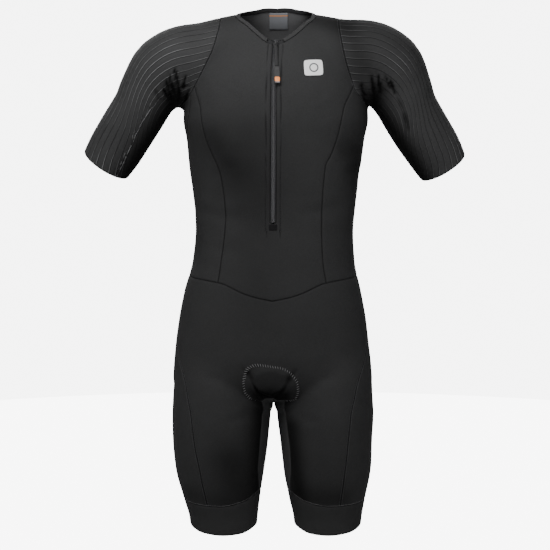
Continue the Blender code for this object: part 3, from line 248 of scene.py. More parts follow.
# The armhole seam bows towards the neck: turn from the shoulder top over the front
ARMHOLE_BOW = Table(
    "turn left right",
    (0, 0, 0), (45, -13, -12), (74, -18, -18), (95, -17, -20), (120, -15, -20), (140, -12, -13),
    (160, -5, -5), (180, 0, 0), (225, -6, -6), (270, -12, -12), (315, -8, -8), (360, 0, 0),
)
BOW_REACH = 0.45

# Turns at which the body seams leave the armhole
FRONT_SEAM_TURN = {"left": 125.0, "right": 118.5}
SIDE_SEAM_TURN = {"left": 135.0, "right": 178.0}
UNDERARM_TURN = {"left": 180.0, "right": 178.0}

# Body seams: angle round the torso from the front, at each height
SEAM_COLUMNS = "height left right"
FRONT_SEAM = Table(
    SEAM_COLUMNS,
    (-120, 66.5, 64.0), (-146, 62.0, 56.5), (-180, 58.8, 52.0), (-213, 57.5, 50.0), (-242, 53.0, 46.5),
    (-262, 49.0, 43.0), (-290, 46.5, 42.8), (-336, 45.5, 43.5), (-372, 46.3, 44.2), (-422, 48.3, 45.3),
    (-460, 49.0, 47.5),
)
SIDE_SEAM = Table(
    SEAM_COLUMNS,
    (-134, 70.0, 86.0), (-160, 71.0, 91.0), (-195, 76.0, 95.0), (-212, 82.0, 97.0), (-250, 95.0, 100.0),
    (-320, 105.0, 105.0), (-452, 112.0, 112.0),
)
BACK_LINE = Table(
    SEAM_COLUMNS,
    (-150, 92.0, 92.0), (-220, 104.0, 104.0), (-320, 118.0, 118.0), (-452, 126.0, 126.0),
)

# Middle of the front: the zip and the seat gap stand a little off the middle
CENTRE_COLUMNS = "height place"
FRONT_CENTRE = Table(CENTRE_COLUMNS, (-45, 2.6), (-75, 0.8), (-105, -0.8), (-151, -1.6), (-251, -2.0),
                     (-355, -2.4), (-480, -4.2), (-600, -3.0), (-680, -1.0))
BACK_CENTRE = Table(CENTRE_COLUMNS, (30, 4.4), (-37, 2.7), (-200, 1.8), (-373, 0.0), (-586, -4.1),
                    (-680, -1.0))

# Waist seam: height at each angle round the torso from the front
WAIST = Table("angle height", (0, -491), (15, -485.5), (27, -478.5), (48, -461), (78, -454), (112, -450.5),
              (180, -446))

# Neckline: rough places, drawn onto the figure along lines from a point inside the chest
NECK_POINT = (3.0, -5.0, -62.0)
NECK = {
    "left": (
        (-4, -77, -55), (-17, -73, -48.4), (-30.4, -66, -37.2), (-51, -51, -18), (-68, -28, -2.5),
        (-66, 5, 6.5), (-57, 30, 12), (-34, 53, 14.5), (4, 61, 14),
    ),
    "right": (
        (6, -77, -55), (20, -73, -48.4), (38, -66, -36.2), (59, -50, -16.3), (74, -28, -1), (74, 5, 8.5),
        (65, 30, 13.5), (42, 53, 15), (4, 61, 14),
    ),
}
NECK_SIDE_SHARE = 0.56
BINDING_START = 0.055

# Leg seams: angle round the leg from its front, outwards positive, at each height
OUTER_SEAM = Table(
    SEAM_COLUMNS,
    (-450, 130, 130), (-490, 114, 114), (-530, 96, 95), (-560, 79, 77), (-594, 62.4, 59), (-640, 42, 37),
    (-661, 37.4, 32), (-690, 32, 26), (-747, 27.4, 22.5), (-800, 23.3, 20.6), (-860, 22.6, 20.4),
)
INNER_FRONT_SEAM = Table(
    SEAM_COLUMNS,
    (-655, -43, -43), (-690, -51.5, -50), (-745, -53, -49.5), (-790, -57, -54), (-840, -74, -70),
)
INNER_BACK_SEAM = Table(SEAM_COLUMNS, (-655, -138, -138), (-745, -130, -130), (-840, -118, -118))
BACK_RAIL = Table(SEAM_COLUMNS, (-450, 160, 160), (-550, 160, 160), (-640, 160, 160), (-860, 165, 165))
CROTCH_FRONT = -659.0
CROTCH_BACK = -660.0
CROTCH_START = -640.0
INNER_TOP = -662.0
INNER_TOP_BACK = -664.0
CROTCH_EASE = 1.5

# Leg band and hem: height at each angle round the leg from its front, outwards positive
LEG_RINGS = Table(
    "angle band hem",
    (-180, -846, -895), (-130, -839, -895), (-75, -835, -899), (-36, -849.5, -908), (0, -856.5, -910),
    (40, -855, -907), (80, -851, -899), (130, -848, -896), (180, -846, -895),
)

# Cells of each grid at the coarse count that the solids have
SHOULDER = 2
NECK_DOWN = 2
NECK_OVER = 5
ARMHOLE = 6
SIDE = 4
UNDERARM = {"left": 2, "right": 0}
BACK_ARMHOLE = 10
BODY = 9
ZIP = 11
SLEEVE = 9
HIP = 8
GUSSET = 2
LEG_DOWN = 5
BAND = 2
CROTCH = 5

# Topstitching: its distance beside the zip, and how far the bar across stands below the zip's end
STITCH_ASIDE = 12.4
BAR_BELOW = 14.0

# Stitched outline of the seat pad on the front: across and up
PAD_LINE = np.array([
    (-35, -664), (-43, -657), (-50.5, -644), (-52.2, -630), (-50.5, -614.8), (-42, -603.6), (-30, -600.2),
    (-16, -601.5), (-2.5, -603.6), (9.5, -605.3), (19.8, -609.6), (30, -618.2), (37.8, -630.2), (39.5, -644),
    (36, -657.7), (28, -666)], float)

ZIP_SLIT_HALF = 4.6
ZIP_BOTTOM = -357.0
ZIP_SLIT_POINT = 3.0


# ---- the figure

def blend(one: Array, other: Array, reach: float) -> Array:
    """Smaller of two distances, rounded over where they are within reach."""
    near = np.maximum(reach - np.abs(one - other), 0) / reach
    return np.minimum(one, other) - near ** 3 * reach / 6


def oval(across: Array, depth: Array, half: Array, front: Array, back: Array, power: float) -> Array:
    """Rough distance to an oval section with its own front and back depth.

    The oval is (across / half)^power + (depth / reach)^power = 1, with reach the front or
    the back depth; the distance is the length of the ray less its length to the oval.
    """
    reach = np.where(depth < 0, front, back)
    size = ((np.abs(across) / half) ** power + (np.abs(depth) / reach) ** power) ** (1 / power)
    distance = np.hypot(across, depth)
    return distance - distance / np.maximum(size, 1e-6)


class Figure:
    """The smooth form that all cloth lies on, as a signed field: negative inside."""

    ARM_FOOT = -352.0

    def __init__(self) -> None:
        """Work out the sleeve tubes."""
        self.axes = {side: self._arm_axis(side) for side in Side}

    @staticmethod
    def _arm_axis(side: Side) -> tuple[Array, Array, Array]:
        """Centre line, radius and depth ratio of one sleeve tube, in small steps."""
        table = ARM[side.value]
        rows = np.arange(len(table.rows))
        at = np.linspace(0, rows[-1], ARM_STEPS + 1)
        out, back, height, radius, depth = (through(rows, table[name], at) for name in table.names)
        return np.stack([side.sign * out, back, height], axis=1), radius, depth / radius

    def torso(self, points: Array) -> Array:
        """Distance to the torso, closed off under the crotch."""
        height = points[:, 2]
        centre, half, front, back = (TORSO.at(name, height) for name in TORSO.names[1:])
        wall = oval(points[:, 0] - centre, points[:, 1], half, front, back, TORSO_POWER)
        return np.maximum(wall, TORSO.rows[-1, 0] - height)

    def leg(self, points: Array, side: Side) -> Array:
        """Distance to one leg, closed off above the hip."""
        height = points[:, 2]
        half, front, back = (LEG.at(name, height) for name in ("half_" + side.value, "front", "back"))
        wall = oval(points[:, 0] - self.leg_centre(side, height), points[:, 1], half, front, back, LEG_POWER)
        return np.maximum(wall, height - LEG.rows[1, 0])

    def arm(self, points: Array, side: Side) -> Array:
        """Distance to one sleeve tube: the nearest of its short tapered lengths."""
        line, radius, depth = self.axes[side]
        best = np.full(len(points), 1e9)
        for step in range(ARM_STEPS):
            run = line[step + 1] - line[step]
            offset = points - line[step]
            share = np.clip(offset @ run / (run @ run), 0, 1)
            away = offset - share[:, None] * run
            away[:, 1] /= depth[step] + share * (depth[step + 1] - depth[step])
            reach = radius[step] + share * (radius[step + 1] - radius[step])
            best = np.minimum(best, np.sqrt(np.einsum("ij,ij->i", away, away)) - reach)
        return best

    def field(self, points: Array) -> Array:
        """Signed field of the whole figure: negative inside, zero on the cloth."""
        arms, legs = np.full(len(points), 1e6), np.full(len(points), 1e6)
        upper = points[:, 2] > self.ARM_FOOT
        for side in Side:
            mine = upper & ((points[:, 0] < 0) == (side is Side.LEFT))
            arms[mine] = self.arm(points[mine], side)
        lower = points[:, 2] < LEG.rows[0, 0] + 40
        low = points[lower]
        legs[lower] = blend(self.leg(low, Side.LEFT), self.leg(low, Side.RIGHT), THIGH_BLEND)
        return blend(blend(self.torso(points), arms, SLEEVE_BLEND), legs, LEG_BLEND)

    def slope(self, points: Array) -> Array:
        """Gradient of the field, by differences over 0.4 mm."""
        reach = 0.2
        steps = reach * np.vstack([np.eye(3), -np.eye(3)])
        values = self.field((points[None] + steps[:, None]).reshape(-1, 3)).reshape(6, -1)
        return (values[:3] - values[3:]).T / (2 * reach)

    def normals(self, points: Array) -> Array:
        """Outward unit normals."""
        steep = self.slope(points)
        return steep / np.maximum(np.linalg.norm(steep, axis=1), 1e-9)[:, None]

    def settle(self, points: Array, rounds: int = 10, longest: float = 8.0) -> Array:
        """Points moved along the slope until the field is zero."""
        flat = np.array(points, float).reshape(-1, 3)
        for _ in range(rounds):
            steep = self.slope(flat)
            move = -self.field(flat)[:, None] * steep / np.maximum((steep ** 2).sum(axis=1), 0.05)[:, None]
            length = np.linalg.norm(move, axis=1)[:, None]
            flat += move * np.minimum(1, longest / np.maximum(length, 1e-9))
        return flat.reshape(np.shape(points))

    def hit(self, origins: Array, directions: Array, reach: float = 280.0, step: float = 4.0) -> Array:
        """First places where lines from inside leave the figure: steps, then 20 halvings."""
        directions = unit(directions)
        distances = np.arange(0, reach, step)
        samples = origins[:, None, :] + directions[:, None, :] * distances[None, :, None]
        outside = self.field(samples.reshape(-1, 3)).reshape(len(origins), -1) > 0
        first = np.maximum(outside.argmax(axis=1), 1)
        low, high = distances[first - 1], distances[first]
        for _ in range(20):
            middle = (low + high) / 2
            out = self.field(origins + directions * middle[:, None]) > 0
            low, high = np.where(out, low, middle), np.where(out, middle, high)
        return origins + directions * ((low + high) / 2)[:, None]

    @staticmethod
    def leg_centre(side: Side, heights: Array) -> Array:
        """Middle of a leg across the figure, at heights."""
        return side.sign * LEG.at("centre_" + side.value, heights)

    def around(self, side: Side, angles: Array, heights: Any, on_leg: bool = False) -> Array:
        """Places on the torso or a leg at angles from the front, outwards positive, at heights."""
        turn = np.radians(angles)
        heights = np.broadcast_to(np.asarray(heights, float), turn.shape)
        level = np.zeros_like(turn)
        middle = self.leg_centre(side, heights) if on_leg else TORSO.at("centre", heights)
        directions = np.stack([side.sign * np.sin(turn), -np.cos(turn), level], axis=1)
        return self.hit(np.stack([middle, level, heights], axis=1), directions)

    def straight(self, across: Array, heights: Array, way: float) -> Array:
        """Places straight before (way -1) or behind (way 1) points of the middle plane."""
        level = np.zeros_like(heights)
        origins = np.stack([across, level, heights], axis=1)
        return self.hit(origins, np.stack([level, level + way, level], axis=1))

    def front_line(self, heights: Array, beside: float = 0.0) -> Array:
        """Places on the front at a distance beside its middle line."""
        return self.straight(FRONT_CENTRE.at("place", heights) + beside, heights, -1)

    def back_line(self, heights: Array) -> Array:
        """Places on the middle line of the back."""
        return self.straight(BACK_CENTRE.at("place", heights), heights, 1)

    def run_between(self, one: Array, other: Array, cells: int) -> Array:
        """Straight run between two points, settled onto the figure."""
        run = one + spread(0, 1, cells)[:, None] * (other - one)
        run[1:-1] = self.settle(run[1:-1])
        return run

    def patch(self, top: Array, bottom: Array, left: Array, right: Array) -> Array:
        """Fine grid between four fine edges.

        Every FINE-th point of the edges gives a coarse Coons grid, drawn onto the figure.
        Cubics carry it to the fine count, a Coons grid of what the edges differ by is
        added, and the inside is drawn onto the figure once more.
        """
        coarse = coons(*(edge[::FINE] for edge in (top, bottom, left, right)))
        coarse[1:-1, 1:-1] = self.settle(coarse[1:-1, 1:-1])
        return self.fitted(refined(coarse), top, bottom, left, right)

    def fitted(self, grid: Array, top: Array, bottom: Array, left: Array, right: Array) -> Array:
        """Fine grid moved to meet its edges exactly, its inside drawn onto the figure."""
        edges = (grid[0], grid[-1], grid[:, 0], grid[:, -1])
        grid = grid + coons(*(wanted - found for wanted, found in zip((top, bottom, left, right), edges)))
        grid[1:-1, 1:-1] = self.settle(grid[1:-1, 1:-1], rounds=3)
        grid[0], grid[-1], grid[:, 0], grid[:, -1] = top, bottom, left, right
        return grid


# ---- seams

class Seams:
    """Every seam of one side of the suit, shared by the cloths that meet there."""

    def __init__(self, figure: Figure, side: Side) -> None:
        """Lay out every seam of the side, from the armhole down."""
        self.figure, self.side, self.name = figure, side, side.value
        self.turns = self._armhole_turns()
        self.armhole = self.sleeve_ring(0.0, self.turns)
        self.armhole[-1] = self.armhole[0]
        self.has_strip = UNDERARM[self.name] > 0
        marks = np.cumsum((ARMHOLE, SIDE, UNDERARM[self.name])) * FINE
        self.front_mark, self.side_mark, self.under_mark = marks
        self.front_seam = self._body_seam(FRONT_SEAM, self.front_mark)
        self.side_seam = self._body_seam(SIDE_SEAM, self.side_mark)
        self.back_line = self._body_seam(BACK_LINE, self.under_mark) if self.has_strip else self.side_seam
        self._set_neck()
        self._set_waist()
        self._set_legs()

    def _armhole_turns(self) -> Array:
        """Turns of the armhole's points: front, side panel, underarm and back runs."""
        turns = (0, *(table[self.name] for table in (FRONT_SEAM_TURN, SIDE_SEAM_TURN, UNDERARM_TURN)), 360)
        cells = (ARMHOLE, SIDE, UNDERARM[self.name], BACK_ARMHOLE)
        return join(*(spread(*run) for run in zip(turns, turns[1:], cells) if run[2]))

    def fan_frame(self, along: float) -> tuple[Array, Array, Array, Array]:
        """Centre, up, forward and onward directions of the sleeve ring at a share of the way."""
        outer_out, outer_height, inner_out, inner_height = (
            float(FAN[self.name].at(name, along)) for name in FAN[self.name].names[1:])
        outer = np.array([self.side.sign * outer_out, outer_height])
        inner = np.array([self.side.sign * inner_out, inner_height])
        rise = unit(outer - inner)
        middle = (outer + inner) / 2
        axis_line = self.figure.axes[self.side][0]
        nearest = np.argmin(np.linalg.norm(axis_line[:, [0, 2]] - middle, axis=1))
        depth = RING_CENTRE_BACK * (1 - along) + axis_line[nearest, 1] * along
        up = np.array([rise[0], 0, rise[1]])
        onward = self.side.sign * np.array([rise[1], 0, -rise[0]])
        lean = ARM_LEAN * along
        forward = np.array([0, -math.cos(lean), 0]) + math.sin(lean) * onward
        return np.array([middle[0], depth, middle[1]]), up, forward, onward

    def sleeve_ring(self, along: float, turns: Array) -> Array:
        """Places round a sleeve at turns from its top over the front."""
        centre, up, forward, onward = self.fan_frame(along)
        bow = ARMHOLE_BOW.at(self.name, turns) * max(0.0, 1 - along / BOW_REACH) ** 2
        turn = np.radians(turns)[:, None]
        return self.figure.hit(centre + bow[:, None] * onward, np.cos(turn) * up + np.sin(turn) * forward)

    def meeting(self, seam: Table, level: Callable[[float], Array], angle: float) -> float:
        """Angle at which a seam meets a level that changes with the angle, found by repeats."""
        for _ in range(12):
            angle = float(seam.at(self.name, level(angle)))
        return angle

    def waist_angle(self, seam: Table) -> float:
        """Angle at which a body seam meets the waist seam."""
        return self.meeting(seam, waist_height, 60.0)

    def band_meeting(self, seam: Table) -> float:
        """Angle at which a leg seam meets the band seam."""
        return self.meeting(seam, band_height, float(seam.at(self.name, LEG_RINGS.rows[0, 1])))

    def _body_seam(self, seam: Table, mark: int) -> Array:
        """Seam down the body from a point of the armhole to the waist seam."""
        start, last = self.armhole[mark], self.waist_angle(seam)
        heights = spread(start[2], float(waist_height(last)), BODY)[1:]
        angles = seam.at(self.name, heights)
        angles[-1] = last
        below = self.figure.around(self.side, angles, heights)
        return with_start(self.figure, np.vstack([start, below]), start)

    def leg_seam_down(self, seam: Table, top: float, cells: int) -> Array:
        """Leg seam from a height down to the band seam."""
        last = self.band_meeting(seam)
        heights = spread(top, float(band_height(last)), cells)
        angles = seam.at(self.name, heights)
        angles[-1] = last
        return self.figure.around(self.side, angles, heights, on_leg=True)

    def band_run(self, first: float, last: float, cells: int, ends: tuple[Array, Array]) -> Array:
        """Band seam between two angles, its ends where the seams given for them end."""
        angles = spread(first, last, cells)
        run = self.figure.around(self.side, angles, band_height(angles), on_leg=True)
        run[0], run[-1] = ends[0][-1], ends[1][-1]
        return run

    def _waist_run(self, first: float, last: float, cells: int, ends: tuple[Array, Array]) -> Array:
        """Waist seam between two angles, its ends where the seams given for them end."""
        angles = spread(first, last, cells)
        run = self.figure.around(self.side, angles, waist_height(angles))
        run[0], run[-1] = ends[0][-1], ends[1][-1]
        return run

    def _neck_curve(self, shares: Array) -> Array:
        """Places on the neckline seam from the zip round to the middle of the back."""
        rows = np.array(NECK[self.name], float)
        lengths = lengths_along(rows)
        rough = np.stack([through(lengths, rows[:, axis], shares * lengths[-1]) for axis in range(3)], axis=1)
        origin = np.array(NECK_POINT)
        return self.figure.hit(np.tile(origin, (len(rough), 1)), rough - origin)

    def _set_neck(self) -> None:
        """Neckline, zip edge, shoulder seam and the middle lines."""
        figure = self.figure
        cells = NECK_DOWN + NECK_OVER
        shares = join(spread(0, BINDING_START, 1), spread(BINDING_START, NECK_SIDE_SHARE, cells - 1))
        self.neck_front = self._neck_curve(shares)
        self.neck_back = self._neck_curve(spread(NECK_SIDE_SHARE, 1, cells))
        self.shoulder = figure.run_between(self.armhole[0], self.neck_front[-1], SHOULDER)
        rows = ARMHOLE + BODY - NECK_DOWN
        slit = spread(self.neck_front[0][2], ZIP_BOTTOM, ZIP)
        zip_edge = figure.front_line(slit, self.side.sign * ZIP_SLIT_HALF)
        corner = zip_edge[0] - self.neck_front[0]
        fade = np.linspace(1, 0, FINE + 1)[:, None]
        self.neck_front[: FINE + 1] = figure.settle(self.neck_front[: FINE + 1] + fade * corner, rounds=4)
        self.neck_front[0] = zip_edge[0]
        under = figure.front_line(spread(ZIP_BOTTOM - ZIP_SLIT_POINT, WAIST.rows[0, 1], rows - ZIP - 1))
        self.middle_front = join(zip_edge, figure.run_between(zip_edge[-1], under[0], 1), under)
        heights = spread(self.neck_back[-1][2], WAIST.rows[-1, 1], BACK_ARMHOLE + BODY - NECK_DOWN)
        self.middle_back = figure.back_line(heights)
        self.neck_back[-1] = self.middle_back[0]

    def _set_waist(self) -> None:
        """Waist seam in the runs that the cloths above and below share."""
        front, side = self.waist_angle(FRONT_SEAM), self.waist_angle(SIDE_SEAM)
        cells = SHOULDER + NECK_OVER
        self.waist_front = self._waist_run(front, 0, cells, (self.front_seam, self.middle_front))
        self.waist_side = self._waist_run(front, side, SIDE, (self.front_seam, self.side_seam))
        line = self.waist_angle(BACK_LINE) if self.has_strip else side
        self.waist_strip = (self._waist_run(side, line, UNDERARM[self.name], (self.side_seam, self.back_line))
                            if self.has_strip else self.side_seam[-1:])
        self.waist_back = self._waist_run(line, 180, cells, (self.back_line, self.middle_back))

    def _set_legs(self) -> None:
        """Leg seams, the crotch line and the band seam."""
        figure = self.figure
        outer = self.leg_seam_down(OUTER_SEAM, self.side_seam[-1][2], HIP + LEG_DOWN)
        self.outer = with_start(figure, outer, self.side_seam[-1])
        eased = 1 - (1 - spread(0, 1, HIP)) ** CROTCH_EASE
        front_top, back_top = self.middle_front[-1], self.middle_back[-1]
        self.hip_front = figure.front_line(front_top[2] + eased * (CROTCH_FRONT - front_top[2]))
        self.hip_back = figure.back_line(back_top[2] + eased * (CROTCH_BACK - back_top[2]))
        self.hip_front[0], self.hip_back[0] = front_top, back_top
        self.inner_front = self.leg_seam_down(INNER_FRONT_SEAM, INNER_TOP, LEG_DOWN)
        self.inner_back = self.leg_seam_down(INNER_BACK_SEAM, INNER_TOP_BACK, LEG_DOWN)
        fork_front, fork_back = self.hip_front[-1], self.hip_back[-1]
        middle = (fork_front + fork_back) / 2
        between = fork_front + spread(0, 1, CROTCH)[:, None] * (fork_back - fork_front)
        origin = np.array([middle[0], middle[1], CROTCH_START])
        self.crotch = figure.hit(np.tile(origin, (len(between), 1)), between - origin)
        self.crotch[0], self.crotch[-1] = fork_front, fork_back
        self.gusset_front = figure.run_between(self.inner_front[0], fork_front, GUSSET)
        self.gusset_back = figure.run_between(fork_back, self.inner_back[0], GUSSET)


def waist_height(angle: Any) -> Array:
    """Height of the waist seam at an angle round the torso."""
    return WAIST.at("height", angle)


def band_height(angle: Any, line: str = "band") -> Array:
    """Height of the band seam or the hem at an angle round the leg, taken between -180 and 180."""
    return LEG_RINGS.at(line, (angle + 180) % 360 - 180)


def with_start(figure: Figure, run: Array, start: Array) -> Array:
    """Run that begins at another point, its first coarse cell drawn smooth to meet it."""
    run = run.copy()
    run[0] = start
    coarse = run[::FINE]
    first = (cubic_weights(len(coarse) - 1) @ coarse)[1:FINE]
    run[1:FINE] = figure.settle(first, rounds=4)
    return run


# ---- folds

class View(Enum):
    """The way that a fold's places are seen: along Y from the front or the back."""

    FRONT = -1.0
    BACK = 1.0
    BOTH = 0.0


def beside_line(points: Array, start: Array, end: Array) -> tuple[Array, Array]:
    """Share of the way along a line, and distance to its left, of points seen from the front."""
    run = end - start
    length = float(np.hypot(*run))
    offset = points[:, [0, 2]] - start
    return offset @ (run / length) / length, offset @ (np.array([-run[1], run[0]]) / length)


@dataclass(frozen=True)
class Fold:
    """A soft trough, or a ridge where depth is negative, between two places (across, height)."""

    start: Pair
    end: Pair
    depth: float
    width: float
    bow: float = 0.0
    lip: float = 0.3
    view: View = View.FRONT

    def relief(self, points: Array, normals: Array) -> Array:
        """How far each point moves along its normal, below the cloth as a negative number.

        Along the line from start to end, bowed aside by a parabola, the trough is
        exp(-(t / w)²) across and has lips of exp(-((t - 1.7 w) / 0.9 w)²); it fades at both
        ends and its depth and width waver along it.
        """
        start, end = np.array(self.start), np.array(self.end)
        share, aside = beside_line(points, start, end)
        inside = np.clip(share, 0, 1)
        across = aside - self.bow * 4 * inside * (1 - inside)
        beyond = np.maximum(np.abs(share - 0.5) - 0.5, 0) * np.hypot(*(end - start))
        waver = 1 + 0.18 * np.sin(9.1 * inside + 0.37 * start[0]) + 0.1 * np.sin(21.0 * inside + start[1])
        away = np.hypot(across, beyond) / (self.width * (0.8 + 0.45 * inside) * waver)
        lips = self.lip * np.exp(-((away - 1.7) / 0.9) ** 2)
        taper = smooth_step((share + 0.12) / 0.42) * smooth_step((1.12 - share) / 0.42)
        facing = smooth_step((self.view.value * normals[:, 1] + 0.25) / 0.5)
        return -self.depth * (np.exp(-away ** 2) - lips) * taper * facing * waver


# Each row: start, end, depth and width, and where they differ from a Fold's own, bow and lip
FRONT_FOLDS = (
    # Left armpit
    (-173, -90, -163, -147, 4.2, 2.7, 2), (-181, -98, -169, -143, 3.6, 2.5, -2),
    (-187, -112, -177, -150, 3.8, 2.7), (-193, -124, -181, -152, 3.2, 2.7),
    (-206, -128, -197, -150, 1.6, 3.2), (-152, -104, -157, -131, 3.0, 2.6),
    (-146, -125, -164, -128, 2.6, 2.6, -2), (-145, -127, -158, -154, 2.4, 3.0),
    # Right armpit
    (149, -115, 166, -160, 3.6, 2.7, -2), (163, -100, 172, -150, 4.0, 2.7, 2),
    (175, -98, 185, -139, 3.6, 2.6), (189, -105, 200, -130, 2.4, 2.7), (197, -110, 209, -140, 3.2, 3.0),
    (208, -136, 235, -210, 1.6, 4.5, 3), (140, -114, 162, -158, 1.8, 3.0),
    # Soft dips of the chest and the waist
    (-120, -196, -62, -290, 2.6, 17.0, -8, 0.15), (118, -214, 154, -292, 2.8, 14.0, -6, 0.15),
    (-150, -330, -40, -352, 1.3, 11.0, -5, 0.2), (40, -340, 140, -322, 1.3, 12.0, -4, 0.2),
    (-130, -395, -30, -410, 0.9, 12.0, -4, 0.2), (-60, -105, -95, -160, 1.1, 13.0, 0, 0.2),
    (70, -130, 95, -185, 1.1, 13.0, 0, 0.2),
    # Crotch
    (-39, -629, 21, -636, 4.6, 5.0, -25, 0.3), (-58, -604, -34, -632, 1.6, 5.5, 3),
    (40, -608, 20, -636, 1.6, 5.5, -3), (-118, -622, -60, -652, 1.3, 9.0, 5, 0.2),
    (104, -622, 54, -650, 1.3, 9.0, -5, 0.2), (-84, -700, -40, -690, 1.2, 8.0, 0, 0.2),
    (78, -702, 38, -692, 1.2, 8.0, 0, 0.2),
)
BACK_FOLDS = (
    # Armpits and shoulder blades
    (-160, -92, -150, -150, 2.2, 3.4, 2), (-172, -104, -163, -150, 2.0, 3.2),
    (-186, -116, -176, -152, 1.8, 3.2), (-200, -128, -192, -156, 1.2, 3.4),
    (163, -94, 153, -150, 2.2, 3.4, -2), (175, -104, 166, -152, 2.0, 3.2), (189, -114, 180, -154, 1.8, 3.2),
    (203, -126, 196, -158, 1.2, 3.4), (-60, -60, -100, -150, 1.2, 12.0, 6, 0.2),
    (64, -60, 104, -150, 1.2, 12.0, -6, 0.2),
    # Small of the back, seat and below it
    (-112, -338, 96, -352, 1.4, 8.0, -8, 0.3), (-84, -386, 110, -378, 1.3, 8.0, 8, 0.3),
    (-100, -424, 84, -418, 1.0, 9.0, -6, 0.3), (-30, -560, -2, -640, 1.2, 8.0, 4, 0.2),
    (22, -560, 0, -640, 1.2, 8.0, -4, 0.2), (-150, -672, -34, -690, 1.8, 7.0, 8, 0.3),
    (146, -672, 34, -690, 1.8, 7.0, -8, 0.3), (-130, -712, -56, -722, 1.0, 7.0, 5, 0.3),
    (128, -712, 56, -722, 1.0, 7.0, -5, 0.3),
)


@dataclass(frozen=True)
class Shade:
    """Soft patch of shade painted into the cloth's colour where the worn cloth lies in its own shade, round a
    line between two places.
    """

    start: Pair
    end: Pair
    reach: float
    amount: float
    view: View = View.FRONT

    def share(self, points: Array, normals: Array) -> Array:
        """How dark the patch makes each point: amount times exp(-(distance / reach)²)."""
        start, run = np.array(self.start), np.array(self.end) - np.array(self.start)
        offset = points[:, [0, 2]] - start
        along = np.clip(offset @ run / (run @ run), 0, 1)
        away = np.linalg.norm(offset - along[:, None] * run, axis=1) / self.reach
        facing = smooth_step((self.view.value * normals[:, 1] + 0.3) / 0.5) if self.view.value else 1.0
        return self.amount * np.exp(-away ** 2) * facing


# Patches of painted shade. Each row: start, end, reach and amount, and the view where it is not the front
SHADES = (
    # Undersides of the sleeves, and the armpits
    (-172, -150, -262, -284, 20, 0.98, View.BOTH), (172, -150, 262, -284, 18, 0.92, View.BOTH),
    (-178, -124, -166, -148, 13, 0.75, View.BOTH), (180, -130, 170, -152, 12, 0.7, View.BOTH),
    # Chest, waist and right shoulder
    (-108, -225, -70, -275, 34, 0.45), (-40, -230, -20, -300, 60, 0.3), (136, -235, 148, -285, 22, 0.5),
    (-150, -360, -146, -400, 20, 0.3), (122, -10, 150, -90, 28, 0.5), (50, 0, 120, -20, 20, 0.5),
    (-110, -4, -70, 4, 16, 0.35), (150, -10, 240, -60, 30, 0.35), (-40, -330, -30, -500, 45, 0.15),
    # Crotch and legs
    (-14, -664, 6, -664, 14, 1.0), (-28, -652, 16, -656, 13, 0.95), (-36, -632, 22, -636, 34, 0.4),
    (0, -560, 0, -760, 210, 0.26), (-20, -690, -24, -850, 24, 0.9), (27, -712, 44, -850, 16, 0.75),
    (-76, -770, -58, -850, 34, 0.5), (56, -842, 112, -842, 26, 0.5), (-150, -838, -90, -848, 20, 0.35),
    (-150, -690, -146, -760, 20, 0.2, View.BACK),
)


class Relief:
    """How far the worn cloth stands off the figure: seams rolled in, folds, and the seat pad."""

    SEAM_ROLL = 0.9
    SEAM_REACH = 1.5
    PAD_CENTRE = (-6.0, -648.0)
    PAD_REACH = (50.0, 46.0)
    PAD_RISE = 4.2
    STITCH_GROOVE = 0.6

    def __init__(self) -> None:
        """Make the folds and shades from their rows."""
        self.folds = [Fold(row[:2], row[2:4], *row[4:]) for row in FRONT_FOLDS]
        self.folds += [replace(Fold(row[:2], row[2:4], *row[4:]), view=View.BACK) for row in BACK_FOLDS]
        self.shades = [Shade(row[:2], row[2:4], *row[4:]) for row in SHADES]

    def seam_roll(self, distance: Array) -> Array:
        """Drop near a seam: a rounded shoulder, exp(-(d / reach)^1.3)."""
        return -self.SEAM_ROLL * np.exp(-(distance / self.SEAM_REACH) ** 1.3)

    def pad(self, points: Array, normals: Array) -> Array:
        """Swell of the pad behind the front of the crotch: a rounded oval plateau."""
        across = (points[:, 0] - self.PAD_CENTRE[0]) / self.PAD_REACH[0]
        up = (points[:, 2] - self.PAD_CENTRE[1]) / self.PAD_REACH[1]
        size = np.sqrt(across ** 2 + up ** 2)
        facing = smooth_step((0.4 - normals[:, 1]) / 0.5)
        return self.PAD_RISE * smooth_step((1.08 - size) / 0.3) * facing

    def beside_zip(self, points: Array, normals: Array) -> Array:
        """Grooves of the topstitching at both sides of the zip, and the bar across its end."""
        middle = FRONT_CENTRE.at("place", points[:, 2])
        away = np.abs(points[:, 0] - middle)
        front = normals[:, 1] < -0.3
        line = np.exp(-((away - STITCH_ASIDE) / 0.9) ** 2)
        within = smooth_step((points[:, 2] - (ZIP_BOTTOM - 15)) / 3) * smooth_step((-52 - points[:, 2]) / 4)
        swell = np.exp(-((away - 8.6) / 2.6) ** 2) * within
        bar = np.exp(-((points[:, 2] - (ZIP_BOTTOM - BAR_BELOW)) / 1.1) ** 2) * smooth_step((15.0 - away) / 2)
        return np.where(front, -self.STITCH_GROOVE * (line * within + bar) + 0.3 * swell, 0.0)

    def painted_shade(self, points: Array, normals: Array) -> Array:
        """How much shade is painted into the colour at each point, from 0 to 1: in sharp creases, stitched
        grooves and the soft patches of painted shade.
        """
        depth = np.maximum(0, -4.0 * self.beside_zip(points, normals) - 0.4)
        light = np.ones(len(points))
        for fold in self.folds:
            if fold.width < 6:
                depth = np.maximum(depth, -fold.relief(points, normals))
        for shade in self.shades:
            light = light * (1 - shade.share(points, normals))
        return 1 - light * (1 - smooth_step(depth / 2.8))

    def height(self, points: Array, normals: Array, seam: Array) -> Array:
        """Total height of the cloth over the figure at each point."""
        total = self.seam_roll(seam) + self.pad(points, normals) + self.beside_zip(points, normals)
        for fold in self.folds:
            total = total + fold.relief(points, normals)
        return total


# ---- meshes

